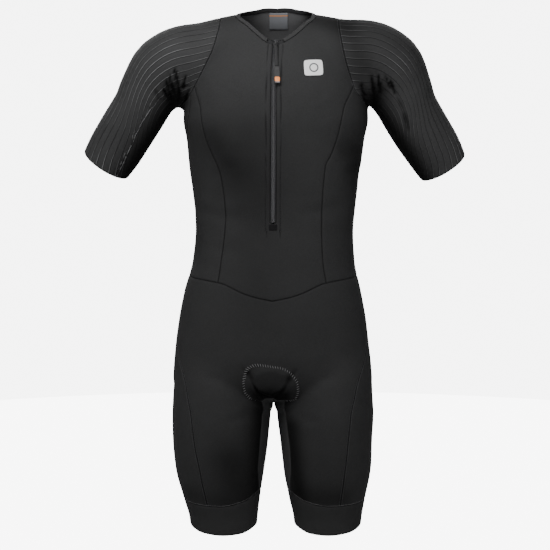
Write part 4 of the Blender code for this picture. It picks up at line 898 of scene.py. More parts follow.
def mesh_object(name: str, points: Array, faces: Any, pattern: Array | None = None) -> Piece:
    """Smooth object at the origin, with its mesh in metres.

    Args:
        name: The piece's name.
        points: Its points, in millimetres.
        faces: Its faces, as an array or lists of corners.
        pattern: Pattern coordinates of each corner of each face, in millimetres.

    Returns:
        The object.
    """
    mesh = bpy.data.meshes.new(name)
    listed = faces.tolist() if isinstance(faces, np.ndarray) else [list(map(int, face)) for face in faces]
    mesh.from_pydata((np.asarray(points) * METRE).tolist(), [], listed)
    mesh.update()
    mesh.shade_smooth()
    if pattern is not None:
        layer = mesh.uv_layers.new(name="pattern")
        layer.data.foreach_set("uv", (pattern * METRE).reshape(-1).astype(np.float32))
    piece = bpy.data.objects.new(name, mesh)
    bpy.context.scene.collection.objects.link(piece)
    return piece


def add_pattern(piece: Piece, pattern: Array) -> None:
    """Pattern coordinates of each point, in millimetres, given to the corners there."""
    corner = np.zeros(len(piece.data.loops), np.int32)
    piece.data.loops.foreach_get("vertex_index", corner)
    layer = piece.data.uv_layers.new(name="pattern")
    layer.data.foreach_set("uv", (pattern[corner] * METRE).ravel().astype(np.float32))


def add_attribute(piece: Piece, name: str, values: Array) -> None:
    """Number at each point, for a material to read."""
    attribute = piece.data.attributes.new(name, "FLOAT", "POINT")
    attribute.data.foreach_set("value", np.asarray(values, np.float32))


def thicken(piece: Piece, wall: float, rim_slot: int = 0) -> None:
    """Wall behind the piece's face, so many millimetres thick."""
    shell = piece.modifiers.new("wall", "SOLIDIFY")
    shell.thickness = wall * METRE
    shell.offset = -1.0
    shell.material_offset = rim_slot


def dress(piece: Piece, finish: "Finish", slot: str, *nodes: str, body: str = "suit") -> None:
    """Give a piece its material and its body, and hide any imported parts that it stands in for."""
    piece.data.materials.clear()
    piece.data.materials.append(finish.material())
    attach(piece, body)
    if nodes:
        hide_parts(*nodes)
    log.info("%s: %d faces", piece.name, len(piece.data.polygons))


def grid_quads(rows: int, columns: int) -> Array:
    """Quads of a grid of points, row by row."""
    index = np.arange(rows * columns).reshape(rows, columns)
    return np.stack([index[:-1, :-1], index[1:, :-1], index[1:, 1:], index[:-1, 1:]], axis=-1).reshape(-1, 4)


def facings(points: Array, quads: Array) -> Array:
    """Way that each quad faces, twice its area long: the cross product of its diagonals."""
    return np.cross(points[quads[:, 2]] - points[quads[:, 0]], points[quads[:, 3]] - points[quads[:, 1]])


# ---- cloths

@dataclass
class Grid:
    """Points of one piece of a cloth, rows downwards, with what its edges are.

    Attributes:
        points: Rows by columns by three, in millimetres.
        seams: For the top, bottom, left and right edge, whether it is a seam, or a mask
            along it.
        row_marks: Rows beside which finer lines are put, besides the first and last.
        column_marks: Columns beside which finer lines are put.
        across_from: Where the pattern's across length starts: 0 at the left edge, 1 at the
            right edge.
    """

    points: Array
    seams: tuple[Any, Any, Any, Any] = (True,) * 4
    row_marks: tuple[int, ...] = ()
    column_marks: tuple[int, ...] = ()
    across_from: float = 0.0
    pattern: Array = field(init=False)
    seam_distance: Array = field(init=False)

    NEAR_LINES = (0.12, 0.3, 0.6)

    def __post_init__(self) -> None:
        """Put in the finer lines, and measure the pattern and the distance from the seams."""
        rows, columns = self.points.shape[:2]
        row_places = self._places(rows, self.row_marks)
        column_places = self._places(columns, self.column_marks)
        sides = [(column_places, columns)] * 2 + [(row_places, rows)] * 2
        top, bottom, left, right = (
            np.interp(places, np.arange(count), np.broadcast_to(np.asarray(flag, float), (count,))) > 0.99
            for flag, (places, count) in zip(self.seams, sides))
        self.points = self._read(self._read(self.points, row_places, 0), column_places, 1)
        over = np.linalg.norm(np.diff(self.points, axis=1), axis=2)
        down = np.linalg.norm(np.diff(self.points, axis=0), axis=2)
        from_left = np.pad(np.cumsum(over, axis=1), ((0, 0), (1, 0)))
        from_top = np.pad(np.cumsum(down, axis=0), ((1, 0), (0, 0)))
        from_right = from_left[:, -1:] - from_left
        self.seam_distance = np.minimum.reduce([
            np.where(top[None, :], from_top, FAR), np.where(bottom[None, :], from_top[-1:] - from_top, FAR),
            np.where(left[:, None], from_left, FAR), np.where(right[:, None], from_right, FAR)])
        self.pattern = np.stack([-from_right if self.across_from else from_left, -from_top], axis=2)

    def _places(self, count: int, marks: tuple[int, ...]) -> Array:
        """Whole places of an axis and the finer ones beside its ends and marks."""
        gaps = [way * gap for gap in self.NEAR_LINES for way in (-1, 1)]
        near = {mark + gap for mark in (0, count - 1, *marks) for gap in gaps}
        return np.array(sorted(set(range(count)) | {place for place in near if 0 < place < count - 1}))

    @staticmethod
    def _read(points: Array, places: Array, axis: int) -> Array:
        """Points read along one axis at places between whole ones, in straight lines."""
        low = np.minimum(places.astype(int), points.shape[axis] - 2)
        share = (places - low).reshape([-1 if axis == way else 1 for way in range(3)])
        one = np.take(points, low, axis)
        return one + share * (np.take(points, low + 1, axis) - one)


@dataclass
class Cloth:
    """A thin shell over grids whose shared edges hold the same points."""

    name: str
    grids: list[Grid]
    finish: "Finish"
    slot: str
    wall: float

    def build(self, figure: Figure, relief: Relief) -> None:
        """Weld the grids, raise the relief, and make the shell."""
        points, faces, pattern, seam = self._weld(figure)
        outward = figure.normals(points)
        height = relief.height(points, outward, seam)
        points = points + height[:, None] * outward
        piece = mesh_object(self.name + "_cloth", points, faces, pattern)
        add_attribute(piece, "seam_distance", seam * METRE)
        # Shade painted into the colour: how dark the creases, stitched grooves and shade patches are made
        add_attribute(piece, "painted_shade", relief.painted_shade(points, outward))
        thicken(piece, self.wall, rim_slot=1)
        dress(piece, self.finish, self.slot, self.name)
        # The inner faces take the paler inside knit, which also holds painted light for the light falling
        # into the neck
        piece.data.materials.append(INSIDE_KNIT.material())

    def _weld(self, figure: Figure) -> tuple[Array, Array, Array, Array]:
        """Points, outward quads, pattern corners and seam distances of all grids as one."""
        all_points = np.vstack([grid.points.reshape(-1, 3) for grid in self.grids])
        distances = np.concatenate([grid.seam_distance.ravel() for grid in self.grids])
        patterns = np.vstack([grid.pattern.reshape(-1, 2) for grid in self.grids])
        keys = np.round(all_points * 500).astype(np.int64)
        _, first, back = np.unique(keys, axis=0, return_index=True, return_inverse=True)
        back = back.reshape(-1)
        seam = np.full(len(first), FAR)
        np.minimum.at(seam, back, distances)
        points = all_points[first]
        outward = figure.normals(points)
        faces, corners, start = [], [], 0
        for grid in self.grids:
            quads = start + grid_quads(*grid.points.shape[:2])
            start += grid.points.shape[0] * grid.points.shape[1]
            welded = back[quads]
            votes = np.einsum("ij,ij->i", facings(points, welded), outward[welded].sum(axis=1)) > 0
            if votes.mean() < 0.5:
                welded, quads = welded[:, ::-1], quads[:, ::-1]
            faces.append(welded)
            corners.append(patterns[quads])
        faces, corners = np.vstack(faces), np.vstack(corners)
        whole = (np.diff(np.sort(faces, axis=1), axis=1) > 0).all(axis=1)
        return points, faces[whole], corners[whole], seam


# ---- meshes of small parts

def superellipse(count: int, half_width: Any, half_depth: Any, power: float) -> Array:
    """Closed outline: cos and sin of even turns, each to the power 2 / power, keeping its sign."""
    turn = np.linspace(0, 2 * math.pi, count, endpoint=False)
    across, depth = (np.sign(part) * np.abs(part) ** (2 / power) for part in (np.cos(turn), np.sin(turn)))
    return np.stack([half_width * across, half_depth * depth], axis=1)


def upright(up: Array, out: Any = 0.0, across: Any = 0.0) -> Array:
    """Line of points (across, out, up) from its heights."""
    return np.stack(np.broadcast_arrays(across, out, up), axis=1)


def tube_faces(rings: int, count: int, closed: bool = False) -> list[list[int]]:
    """Faces of rings of points joined up, with a cap at each end unless the tube is closed."""
    index = np.arange(rings * count).reshape(rings, count)
    low, high = (index, np.roll(index, -1, axis=0)) if closed else (index[:-1], index[1:])
    on_low, on_high = np.roll(low, -1, axis=1), np.roll(high, -1, axis=1)
    quads = np.stack([low, on_low, on_high, high], axis=-1).reshape(-1, 4).tolist()
    return quads if closed else quads + [index[0][::-1].tolist(), index[-1].tolist()]


def by_size(faces: list[list[int]]) -> list[Array]:
    """Faces sorted into one array for each number of corners."""
    return [np.array([face for face in faces if len(face) == size]) for size in sorted(set(map(len, faces)))]


def outward_faces(points: Array, faces: list[list[int]]) -> list[list[int]]:
    """Faces of a closed body turned so that its signed volume is above zero."""
    total = 0.0
    for some in by_size(faces):
        corners = points[some] - points.mean(axis=0)
        for place in range(1, some.shape[1] - 1):
            total += float((corners[:, 0] * np.cross(corners[:, place], corners[:, place + 1])).sum())
    return faces if total > 0 else [face[::-1] for face in faces]


def lofted(stations: Array, widths: Array, depths: Array, power: float, count: int) -> Body:
    """Closed body of superellipse sections.

    Args:
        stations: Middle of each section: across, out and up.
        widths: Half width of each section.
        depths: Half depth of each section.
        power: How square the sections are.
        count: Points round a section.

    Returns:
        Points (across, out, up) and outward faces.
    """
    outline = superellipse(count, 1.0, 1.0, power)
    rings = np.repeat(stations[:, None, :], count, axis=1)
    rings[:, :, 0] += widths[:, None] * outline[None, :, 0]
    rings[:, :, 1] += depths[:, None] * outline[None, :, 1]
    points = rings.reshape(-1, 3)
    return points, outward_faces(points, tube_faces(len(rings), count))


def along_path(path: Array, radius: Any, count: int = 8, closed: bool = False) -> Body:
    """Round tube along a path: each ring stands square to the path's mean direction there."""
    way = unit(np.roll(path, -1, axis=0) - np.roll(path, 1, axis=0) if closed else np.gradient(path, axis=0))
    helper = np.where(np.abs(way[:, :1]) < 0.9, np.array([[1.0, 0, 0]]), np.array([[0, 1.0, 0]]))
    one = unit(np.cross(way, helper))
    other = np.cross(way, one)
    turn = np.linspace(0, 2 * math.pi, count, endpoint=False)[None, :, None]
    radii = np.broadcast_to(np.asarray(radius, float), (len(path),))[:, None, None]
    rings = path[:, None] + radii * (np.cos(turn) * one[:, None] + np.sin(turn) * other[:, None])
    points = rings.reshape(-1, 3)
    return points, outward_faces(points, tube_faces(len(path), count, closed))


def together(*bodies: Body) -> Body:
    """Bodies as one mesh."""
    faces, start = [], 0
    for points, body_faces in bodies:
        faces += [[corner + start for corner in face] for face in body_faces]
        start += len(points)
    return np.vstack([points for points, _ in bodies]), faces


def scattered(body: Body, places: Array, across: Array, out: Array, along: Array) -> Body:
    """Copies of a small body (across, out, along) set at places, in frames of those directions."""
    points, faces = body
    placed = (places[:, None] + points[None, :, :1] * across[:, None] + points[None, :, 1:2] * out[:, None]
              + points[None, :, 2:] * along[:, None])
    starts = len(points) * np.arange(len(places))
    made: list[list[int]] = []
    for some in by_size(faces):
        made += (some[None] + starts[:, None, None]).reshape(-1, some.shape[1]).tolist()
    return placed.reshape(-1, 3), made


def unit(vectors: Array) -> Array:
    """Vectors at length one."""
    return vectors / np.maximum(np.linalg.norm(vectors, axis=-1, keepdims=True), 1e-9)


def evenly(points: Array, pitch: float) -> Array:
    """Points at an even pitch along a line of points."""
    lengths = lengths_along(points)
    at = np.linspace(0, lengths[-1], max(2, int(round(lengths[-1] / pitch)) + 1))
    return np.stack([np.interp(at, lengths, points[:, axis]) for axis in range(3)], axis=1)


# ---- shader maths

class Value:
    """A shader socket on which Python's operators add Math nodes."""

    def __init__(self, graph: "Graph", socket: bpy.types.NodeSocket) -> None:
        """Wrap a socket of a graph."""
        self.graph = graph
        self.socket = socket

    def between(self, low: float, high: float) -> "Value":
        """Smooth rise from 0 at low to 1 at high; a fall where low is above high."""
        settings = {"interpolation_type": "SMOOTHSTEP"}
        rise = self.graph.node("ShaderNodeMapRange", settings, self, min(low, high), max(low, high), 0.0, 1.0)
        return 1 - rise if low > high else rise

    def wave(self, length: float) -> "Value":
        """Sine of so long a wave, brought between 0 and 1."""
        return (self * (2 * math.pi / length)).sine() * 0.5 + 0.5


def operator(operation: str, swapped: bool = False) -> Callable[..., Value]:
    """Method that adds one Math node, with its two inputs swapped or not."""
    def method(self: Value, *other: Any) -> Value:
        """Math node on this value and the other."""
        inputs = (*other, self) if swapped else (self, *other)
        return self.graph.node("ShaderNodeMath", {"operation": operation}, *inputs)
    return method


OPERATORS = {"__add__": "ADD", "__sub__": "SUBTRACT", "__mul__": "MULTIPLY",
             "__truediv__": "DIVIDE", "power": "POWER",
             "sine": "SINE", "size": "ABSOLUTE", "wrapped": "FRACT"}
for method_name, node_operation in OPERATORS.items():
    setattr(Value, method_name, operator(node_operation))
Value.__rsub__ = operator("SUBTRACT", swapped=True)


class Graph:
    """A material's nodes, with its Principled shader as the end of every link."""

    def __init__(self, name: str) -> None:
        """Make a material of that name."""
        self.material = bpy.data.materials.new(name)
        self.material.use_nodes = True
        self.tree = self.material.node_tree
        self.shader = self.tree.nodes["Principled BSDF"]

    def node(self, kind: str, settings: dict[str, Any] | None = None, *inputs: Any,
             output: int | str = 0, named: dict[Any, Any] | None = None) -> Value:
        """Add one node.

        Args:
            kind: The node's type.
            settings: Its properties, set before its sockets.
            *inputs: Values or links of its first sockets.
            output: Which of its outputs to give back.
            named: Values or links of sockets by name.

        Returns:
            The output, wrapped.
        """
        made = self.tree.nodes.new(kind)
        for name, value in (settings or {}).items():
            setattr(made, name, value)
        for place, value in [*enumerate(inputs), *(named or {}).items()]:
            self.put(made.inputs[place], value)
        return Value(self, made.outputs[output])

    def put(self, socket: bpy.types.NodeSocket, value: Any) -> None:
        """Set a socket to a number or colour, or link it."""
        if isinstance(value, Value):
            self.tree.links.new(value.socket, socket)
        else:
            socket.default_value = value

    def place(self) -> Value:
        """Place on the object, in metres."""
        return self.node("ShaderNodeTexCoord", output="Object")

    def pattern_place(self) -> Value:
        """The cloth's own pattern as a vector."""
        return self.node("ShaderNodeUVMap", {"uv_map": "pattern"})

    def pattern(self) -> tuple[Value, Value]:
        """Across and along lengths of the cloth's own pattern, in metres."""
        across = self.node("ShaderNodeSeparateXYZ", None, self.pattern_place())
        return across, Value(self, across.socket.node.outputs[1])

    def attribute(self, name: str) -> Value:
        """Number stored at the points."""
        return self.node("ShaderNodeAttribute", {"attribute_name": name}, output="Fac")

    def noise(self, where: Value, scale: float, detail: float = 2.0) -> Value:
        """Fractal noise with so many cells to the metre, from 0 to 1."""
        named = {"Vector": where, "Scale": scale, "Detail": detail}
        return self.node("ShaderNodeTexNoise", None, named=named)

    def mixed(self, share: Any, one: Any, other: Any) -> Value:
        """Colour between two colours."""
        named = {place: value if isinstance(value, (Value, float)) else (*value, 1.0)
                 for place, value in ((0, share), (6, one), (7, other))}
        return self.node("ShaderNodeMix", {"data_type": "RGBA"}, output=2, named=named)

    def bump(self, height: Value, depth: float) -> Value:
        """Normal bent by a height of 0 to 1, so many metres deep."""
        return self.node("ShaderNodeBump", None, named={"Strength": 1.0, "Distance": depth, "Height": height})

    def set(self, **sockets: Any) -> None:
        """Set or link the shader's sockets; an underscore stands for a space."""
        for name, value in sockets.items():
            value = (*value, 1.0) if isinstance(value, tuple) else value
            self.put(self.shader.inputs[name.replace("_", " ")], value)


# ---- finishes

Colour = tuple[float, float, float]


@dataclass(frozen=True)
class Finish:
    """Base of every finish: a colour, how dull it is, and what it is made of in a subclass."""

    name: str
    colour: Colour
    roughness: float = 0.6
    specular: float = 0.3

    def tone(self, factor: float) -> Colour:
        """The colour with each part times a factor."""
        return tuple(min(1.0, part * factor) for part in self.colour)

    def material(self) -> bpy.types.Material:
        """The finish's one material, made the first time."""
        made = bpy.data.materials.get(self.name)
        if made is None:
            graph = Graph(self.name)
            graph.set(Base_Color=self.colour, Roughness=self.roughness, Specular_IOR_Level=self.specular)
            graph.material.diffuse_color = (*self.colour, 1)
            self.weave(graph)
            made = graph.material
        return made

    def weave(self, graph: Graph) -> None:
        """Nodes of this finish."""
        raise NotImplementedError


@dataclass(frozen=True)
class Knit(Finish):
    """Warp-knit stretch cloth: fine loops, soft mottling, dark seams, shade painted into creases and soft
    patches, and raised ribs with painted highlights and painted shade.
    """

    loop: float = 0.0011
    rib_pitch: float = 0.0
    rib_painted_highlight: float = 0.0
    shade_paint_share: float = 1.0

    def weave(self, graph: Graph) -> None:
        """Loops are products of sines across and along; ribs are narrow crests at a pitch, each with a
        painted highlight on its crest and painted shade in its groove.
        """
        across, along = graph.pattern()
        turn = 2 * math.pi / self.loop
        loops = (across * turn).sine() * (along * (0.8 * turn)).sine() * 0.5 + 0.5
        place = graph.place()
        mottle = graph.noise(place, 22.0, 3.0)
        fuzz = graph.noise(place, 520.0, 3.0) * 1.8 - 0.4
        shade = graph.mixed(mottle, self.tone(0.76), self.tone(1.2))
        shade = graph.mixed(fuzz * 0.6 + loops * 0.2, shade, self.tone(1.5))
        height = loops * 0.35 + fuzz * 0.4
        if self.rib_pitch:
            turns = (across / self.rib_pitch).wrapped()
            crest = (turns - 0.5).size().between(0.066, 0.042)
            groove = (turns - 0.61).size().between(0.06, 0.03)
            strength = graph.noise(place, 10.0, 1.0).between(0.34, 0.66) * self.rib_painted_highlight
            height = height * 0.25 + crest * 1.6 - groove * 0.8
            # Painted shade in each rib's groove, and a painted highlight on its crest whose strength wavers
            # by noise
            shade = graph.mixed(groove * 0.7, shade, self.tone(0.2))
            shade = graph.mixed(crest * strength, shade, self.tone(6.0))
        seam = graph.attribute("seam_distance").between(0.0022, 0.0)
        shade = graph.mixed(seam * 0.75, shade, self.tone(0.18))
        # Painted shade: the colour goes to near black, and the cloth rougher, by the shade painted at each
        # point
        painted_shade = graph.attribute("painted_shade") * self.shade_paint_share
        shade = graph.mixed(painted_shade, shade, self.tone(0.04))
        graph.set(Base_Color=shade, Roughness=mottle * 0.1 + painted_shade * 0.2 + (self.roughness - 0.05),
                  Normal=graph.bump(height, 0.0004 if self.rib_pitch else 0.00005))


@dataclass(frozen=True)
class Elastic(Finish):
    """Ribbed elastic: fine ribs along the pattern's across way, with dull yarn fuzz."""

    rib: float = 0.0016
    depth: float = 0.00012

    def weave(self, graph: Graph) -> None:
        """Ribs are a sine across; the yarn's fuzz is noise."""
        across, along = graph.pattern()
        ribs, rows = across.wave(self.rib), along.wave(0.7 * self.rib)
        place = graph.place()
        fuzz, mottle = graph.noise(place, 1100.0), graph.noise(place, 60.0, 3.0)
        shade = graph.mixed(ribs * 0.5 + fuzz * 0.35, self.tone(0.72), self.tone(1.3))
        shade = graph.mixed(mottle * 0.25, shade, self.tone(1.5))
        height = ribs * 0.7 + rows * 0.15 + fuzz * 0.3
        graph.set(Base_Color=shade, Roughness=fuzz * 0.12 + (self.roughness - 0.06),
                  Normal=graph.bump(height, self.depth))


@dataclass(frozen=True)
class Moulded(Finish):
    """Moulded rubber, nylon or painted metal: fine grain, worn a little lighter in spots."""

    grain: float = 1600.0
    depth: float = 0.00004
    metallic: float = 0.0
    wear: float = 0.25

    def weave(self, graph: Graph) -> None:
        """Grain is fine noise; wear is coarse noise through a smooth threshold."""
        place = graph.place()
        grain = graph.noise(place, self.grain)
        worn = graph.noise(place, 240.0, 3.0).between(0.52, 0.74)
        shade = graph.mixed(worn * self.wear, self.colour, self.tone(1.9))
        graph.set(Base_Color=shade, Metallic=self.metallic, Roughness=grain * 0.16 + (self.roughness - 0.08),
                  Normal=graph.bump(grain, self.depth))


@dataclass(frozen=True)
class Satin(Finish):
    """Woven satin label with one plain coloured line near its top."""

    line_colour: Colour = (0.75, 0.26, 0.03)
    line_height: float = 0.0
    line_width: float = 0.0009

    def weave(self, graph: Graph) -> None:
        """Floats are a stretched sine; the line is a band of heights."""
        across, along = graph.pattern()
        threads = across.wave(0.0006)
        floats = graph.noise(graph.pattern_place(), 1400.0)
        line = (along - self.line_height).size().between(self.line_width, 0.6 * self.line_width)
        shade = graph.mixed(floats * 0.6 + threads * 0.2, self.tone(0.8), self.tone(1.15))
        graph.set(Base_Color=graph.mixed(line * 0.85, shade, self.line_colour),
                  Roughness=floats * 0.15 + (self.roughness - 0.07), Normal=graph.bump(threads, 0.00004))


@dataclass(frozen=True)
class Print(Finish):
    """Printed badge: a plain light ground with a plain darker ring."""

    ring_colour: Colour = (0.1, 0.1, 0.105)
    centre: Pair = (0.0165, -0.0135)
    radius: float = 0.0068
    width: float = 0.0014

    def weave(self, graph: Graph) -> None:
        """The ring is a band of distances from the badge's centre; ink has a faint crackle."""
        offsets = [part - middle for part, middle in zip(graph.pattern(), self.centre)]
        away = (offsets[0] * offsets[0] + offsets[1] * offsets[1]).power(0.5)
        ring = (away - self.radius).size().between(self.width, 0.7 * self.width)
        ink = graph.noise(graph.place(), 700.0, 3.0)
        shade = graph.mixed(ink * 0.5, self.tone(0.9), self.colour)
        graph.set(Base_Color=graph.mixed(ring, shade, self.ring_colour),
                  Roughness=ink * 0.1 + (self.roughness - 0.05), Normal=graph.bump(ink, 0.00005))


BODY_KNIT = Knit("body knit", (0.0212, 0.0213, 0.0217), roughness=0.74, specular=0.1)
SLEEVE_KNIT = Knit("sleeve knit", (0.0258, 0.0259, 0.0263), roughness=0.7, specular=0.11,
                   rib_pitch=0.0135, rib_painted_highlight=0.8)
INNER_KNIT = Knit("inner leg knit", (0.04, 0.0402, 0.041), roughness=0.76, specular=0.08, shade_paint_share=0.35)
# Inside face of the knit, seen in the neck: paler than the outside, partly the fabric's paler back and partly
# painted light for the light falling in through the neck
INSIDE_KNIT = Knit("inside of the knit", (0.088, 0.088, 0.09), roughness=0.8, specular=0.1, shade_paint_share=0.0)
BAND_ELASTIC = Elastic("leg band elastic", (0.019, 0.0191, 0.0194), roughness=0.8, specular=0.1, rib=0.0021)
BINDING_ELASTIC = Elastic("neck binding elastic", (0.027, 0.027, 0.0275), roughness=0.7, specular=0.12,
                          rib=0.0019)
TAPE_WEAVE = Elastic("zip tape weave", (0.014, 0.014, 0.015), roughness=0.7, specular=0.15, rib=0.0012)
PATCH_WEAVE = Elastic("end patch weave", (0.006, 0.006, 0.0065), roughness=0.7, specular=0.1, rib=0.0012)
PAD_FOAM = Elastic("seat pad foam", (0.05, 0.05, 0.055), roughness=0.85, specular=0.1, rib=0.004)
COIL_NYLON = Moulded("zip coil nylon", (0.034, 0.034, 0.037), roughness=0.42, specular=0.35, wear=0.1)
SLIDER_PAINT = Moulded("slider paint", (0.012, 0.012, 0.013), roughness=0.3, metallic=0.3, wear=0.9)
TONGUE_WEAVE = Moulded("pull tongue", (0.013, 0.013, 0.0135), roughness=0.55, specular=0.14, wear=0.3)
GRIP_RUBBER = Moulded("grip rubber", (0.034, 0.034, 0.035), roughness=0.6, specular=0.15, wear=0.3,
                      depth=0.00006)
INLAY_ORANGE = Moulded("inlay orange", (0.72, 0.2, 0.018), roughness=0.42, specular=0.4, wear=0.06)
RIM_SILVER = Moulded("grip rim", (0.3, 0.3, 0.31), roughness=0.4, metallic=0.6, wear=0.2)
LABEL_SATIN = Satin("label satin", (0.2, 0.205, 0.22), roughness=0.5, line_height=-0.0045)
BADGE_PRINT = Print("badge print", (0.82, 0.82, 0.82), roughness=0.42)
THREAD_GREY = Moulded("grey thread", (0.115, 0.115, 0.118), roughness=0.65, grain=3000.0, wear=0.1)
THREAD_DULL = Moulded("dull thread", (0.045, 0.046, 0.05), roughness=0.7, grain=3000.0, wear=0.1)
THREAD_DARK = Moulded("dark thread", (0.02, 0.02, 0.022), roughness=0.6, grain=3000.0, wear=0.1)


# ---- the garment's cloths

@dataclass
class Garment:
    """Panels, sleeves, legs and bands, each a cloth of its own."""

    figure: Figure
    seams: dict[Side, Seams]
    relief: Relief

    def build(self) -> None:
        """Make every cloth."""
        self._cloth("front_panel", self._front())
        self._cloth("back_panel", self._back())
        self._cloth("shorts_front", self._shorts_front())
        for side, one in self.seams.items():
            top = one.armhole[one.front_mark: one.side_mark + 1]
            panel = self.figure.patch(top, one.waist_side, one.front_seam, one.side_seam)
            self._cloth("side_panel_" + side.value, [Grid(panel)])
            self._cloth("sleeve_" + side.value, self._sleeve(one), SLEEVE_KNIT, "sleeve_fabric")
            self._cloth("shorts_back_" + side.value, self._shorts_back(one))
            self._cloth("inner_leg_" + side.value, self._inner_leg(one), INNER_KNIT)
            self._cloth("leg_band_" + side.value, self._band(one), BAND_ELASTIC, "band_fabric", wall=1.5)

    def _cloth(self, name: str, grids: list[Grid], finish: Finish = BODY_KNIT, slot: str = "body_fabric",
               wall: float = CLOTH_WALL) -> None:
        """Make one cloth."""
        Cloth(name, grids, finish, slot, wall).build(self.figure, self.relief)

    def _yoke_and_body(self, shoulder: Array, outer: Array, neck: Array, waist: Array, middle: Array,
                       outer_mask: Any, middle_mask: Any, row_mark: int) -> list[Grid]:
        """Upper and lower grids of half a body panel, split where the neckline turns."""
        turn, corner = NECK_DOWN * FINE, SHOULDER * FINE
        line = self.figure.run_between(outer[turn], neck[turn], SHOULDER)
        yoke = self.figure.patch(shoulder, line, outer[: turn + 1], neck[: turn + 1])
        body = self.figure.patch(join(line, neck[turn:]), waist, outer[turn:], middle)
        top_mask = np.arange(body.shape[1]) > corner
        return [Grid(yoke, (True, False, True, True)),
                Grid(body, (top_mask, True, outer_mask, middle_mask), (row_mark,), (corner,))]

    def _front(self) -> list[Grid]:
        """Front from the neckline to the waist seam, slit for the zip."""
        grids, slit = [], ZIP * FINE
        for one in self.seams.values():
            outer = join(one.armhole[: one.front_mark + 1], one.front_seam)
            in_slit = np.arange(len(one.middle_front)) <= slit
            grids += self._yoke_and_body(one.shoulder, outer, one.neck_front[::-1], one.waist_front,
                                         one.middle_front, True, in_slit, slit)
        return grids

    def _back(self) -> list[Grid]:
        """One-piece back; on the left it comes round under the arm in a narrow strip."""
        grids = []
        mark = (BACK_ARMHOLE - NECK_DOWN) * FINE
        for one in self.seams.values():
            if one.has_strip:
                under = one.armhole[one.side_mark: one.under_mark + 1]
                strip = self.figure.patch(under, one.waist_strip, one.side_seam, one.back_line)
                grids.append(Grid(strip, (True, True, True, False)))
            outer = join(one.armhole[one.under_mark:][::-1], one.back_line)
            outer_mask = np.arange(len(one.middle_back)) <= mark if one.has_strip else True
            grids += self._yoke_and_body(one.shoulder, outer, one.neck_back, one.waist_back, one.middle_back,
                                         outer_mask, False, mark)
        return grids

    def _sleeve(self, one: Seams) -> list[Grid]:
        """One-piece sleeve from the armhole to the raw-cut cuff, as a front and a back half."""
        coarse = [one.armhole[::FINE]]
        for along in np.linspace(0, 1, SLEEVE + 1)[1:]:
            coarse.append(one.sleeve_ring(float(along), one.turns[::FINE]))
            coarse[-1][-1] = coarse[-1][0]
        grid = refined(np.array(coarse))
        crest, cuff = self.figure.settle(grid[:, 0], rounds=4), self.figure.settle(grid[-1], rounds=4)
        crest[0] = one.armhole[0]
        cuff[0], cuff[-1] = crest[-1], crest[-1]
        grid = self.figure.fitted(grid, one.armhole, cuff, crest, crest)
        seams = (True, True, False, False)
        return [Grid(grid[:, : one.under_mark + 1], seams),
                Grid(grid[:, one.under_mark:], seams, across_from=1.0)]

    def _hip_and_leg(self, waist: Array, foot: Array, outer: Array, hip: Array, gusset: Array, inner: Array,
                     outer_mask: bool, hip_mask: bool) -> list[Grid]:
        """Grids of a leg cloth above and below the level of the crotch."""
        split = HIP * FINE
        cells = (len(waist) - 1) // FINE - GUSSET
        line = self.figure.run_between(outer[split], inner[0], cells)
        upper = self.figure.patch(waist, join(line, gusset), outer[: split + 1], hip)
        lower = self.figure.patch(line, foot, outer[split:], inner)
        bottom_mask = np.arange(upper.shape[1]) > cells * FINE
        return [Grid(upper, (True, bottom_mask, outer_mask, hip_mask), (), (cells * FINE,)),
                Grid(lower, (False, True, outer_mask, True))]

    def _shorts_front(self) -> list[Grid]:
        """Front of both legs in one piece."""
        grids = []
        for one in self.seams.values():
            waist = join(one.waist_side[::-1], one.waist_front)
            foot = one.band_run(one.band_meeting(OUTER_SEAM), one.band_meeting(INNER_FRONT_SEAM),
                                (len(waist) - 1) // FINE - GUSSET, (one.outer, one.inner_front))
            grids += self._hip_and_leg(waist, foot, one.outer, one.hip_front, one.gusset_front,
                                       one.inner_front, True, False)
        return grids

    def _shorts_back(self, one: Seams) -> list[Grid]:
        """Seat and back of one leg, to the middle seam and the inner leg seam."""
        waist = join(one.waist_strip, one.waist_back)
        doubled = np.empty((2 * len(waist) - 1, 3))
        doubled[::2], doubled[1::2] = waist, (waist[:-1] + waist[1:]) / 2
        cells = (len(doubled) - 1) // FINE
        near_cells = (cells + 2) // 2
        half = near_cells * FINE
        rail = one.leg_seam_down(BACK_RAIL, doubled[half][2], HIP + LEG_DOWN)
        rail = with_start(self.figure, rail, doubled[half])
        outer_angle, rail_angle, inner_angle = map(one.band_meeting, (OUTER_SEAM, BACK_RAIL, INNER_BACK_SEAM))
        near = one.band_run(outer_angle, rail_angle, near_cells, (one.outer, rail))
        far = one.band_run(rail_angle, 360 + inner_angle, cells - near_cells - GUSSET, (rail, one.inner_back))
        outer_grid = self.figure.patch(doubled[: half + 1], near, one.outer, rail)
        return [Grid(outer_grid, (True, True, True, False), (HIP * FINE,))] + self._hip_and_leg(
            doubled[half:], far, rail, one.hip_back, one.gusset_back[::-1], one.inner_back, False, True)

    def _inner_leg(self, one: Seams) -> list[Grid]:
        """Inside of one leg from the crotch line to the band."""
        top = join(one.gusset_front, one.crotch, one.gusset_back)
        rows = [top[::FINE]]
        across = np.linspace(0, 1, len(rows[0]))
        for ends in zip(one.inner_front[FINE::FINE], one.inner_back[FINE::FINE]):
            first, last = (float(seam.at(one.name, end[2]))
                           for seam, end in zip((INNER_FRONT_SEAM, INNER_BACK_SEAM), ends))
            heights = ends[0][2] + across * (ends[1][2] - ends[0][2])
            row = self.figure.around(one.side, first + across * (last - first), heights, on_leg=True)
            row[0], row[-1] = ends
            rows.append(row)
        first, last = one.band_meeting(INNER_FRONT_SEAM), one.band_meeting(INNER_BACK_SEAM)
        foot = one.band_run(first, last, len(across) - 1, (one.inner_front, one.inner_back))
        rows[-1] = foot[::FINE]
        return [Grid(self.figure.fitted(refined(np.array(rows)), top, foot, one.inner_front, one.inner_back))]

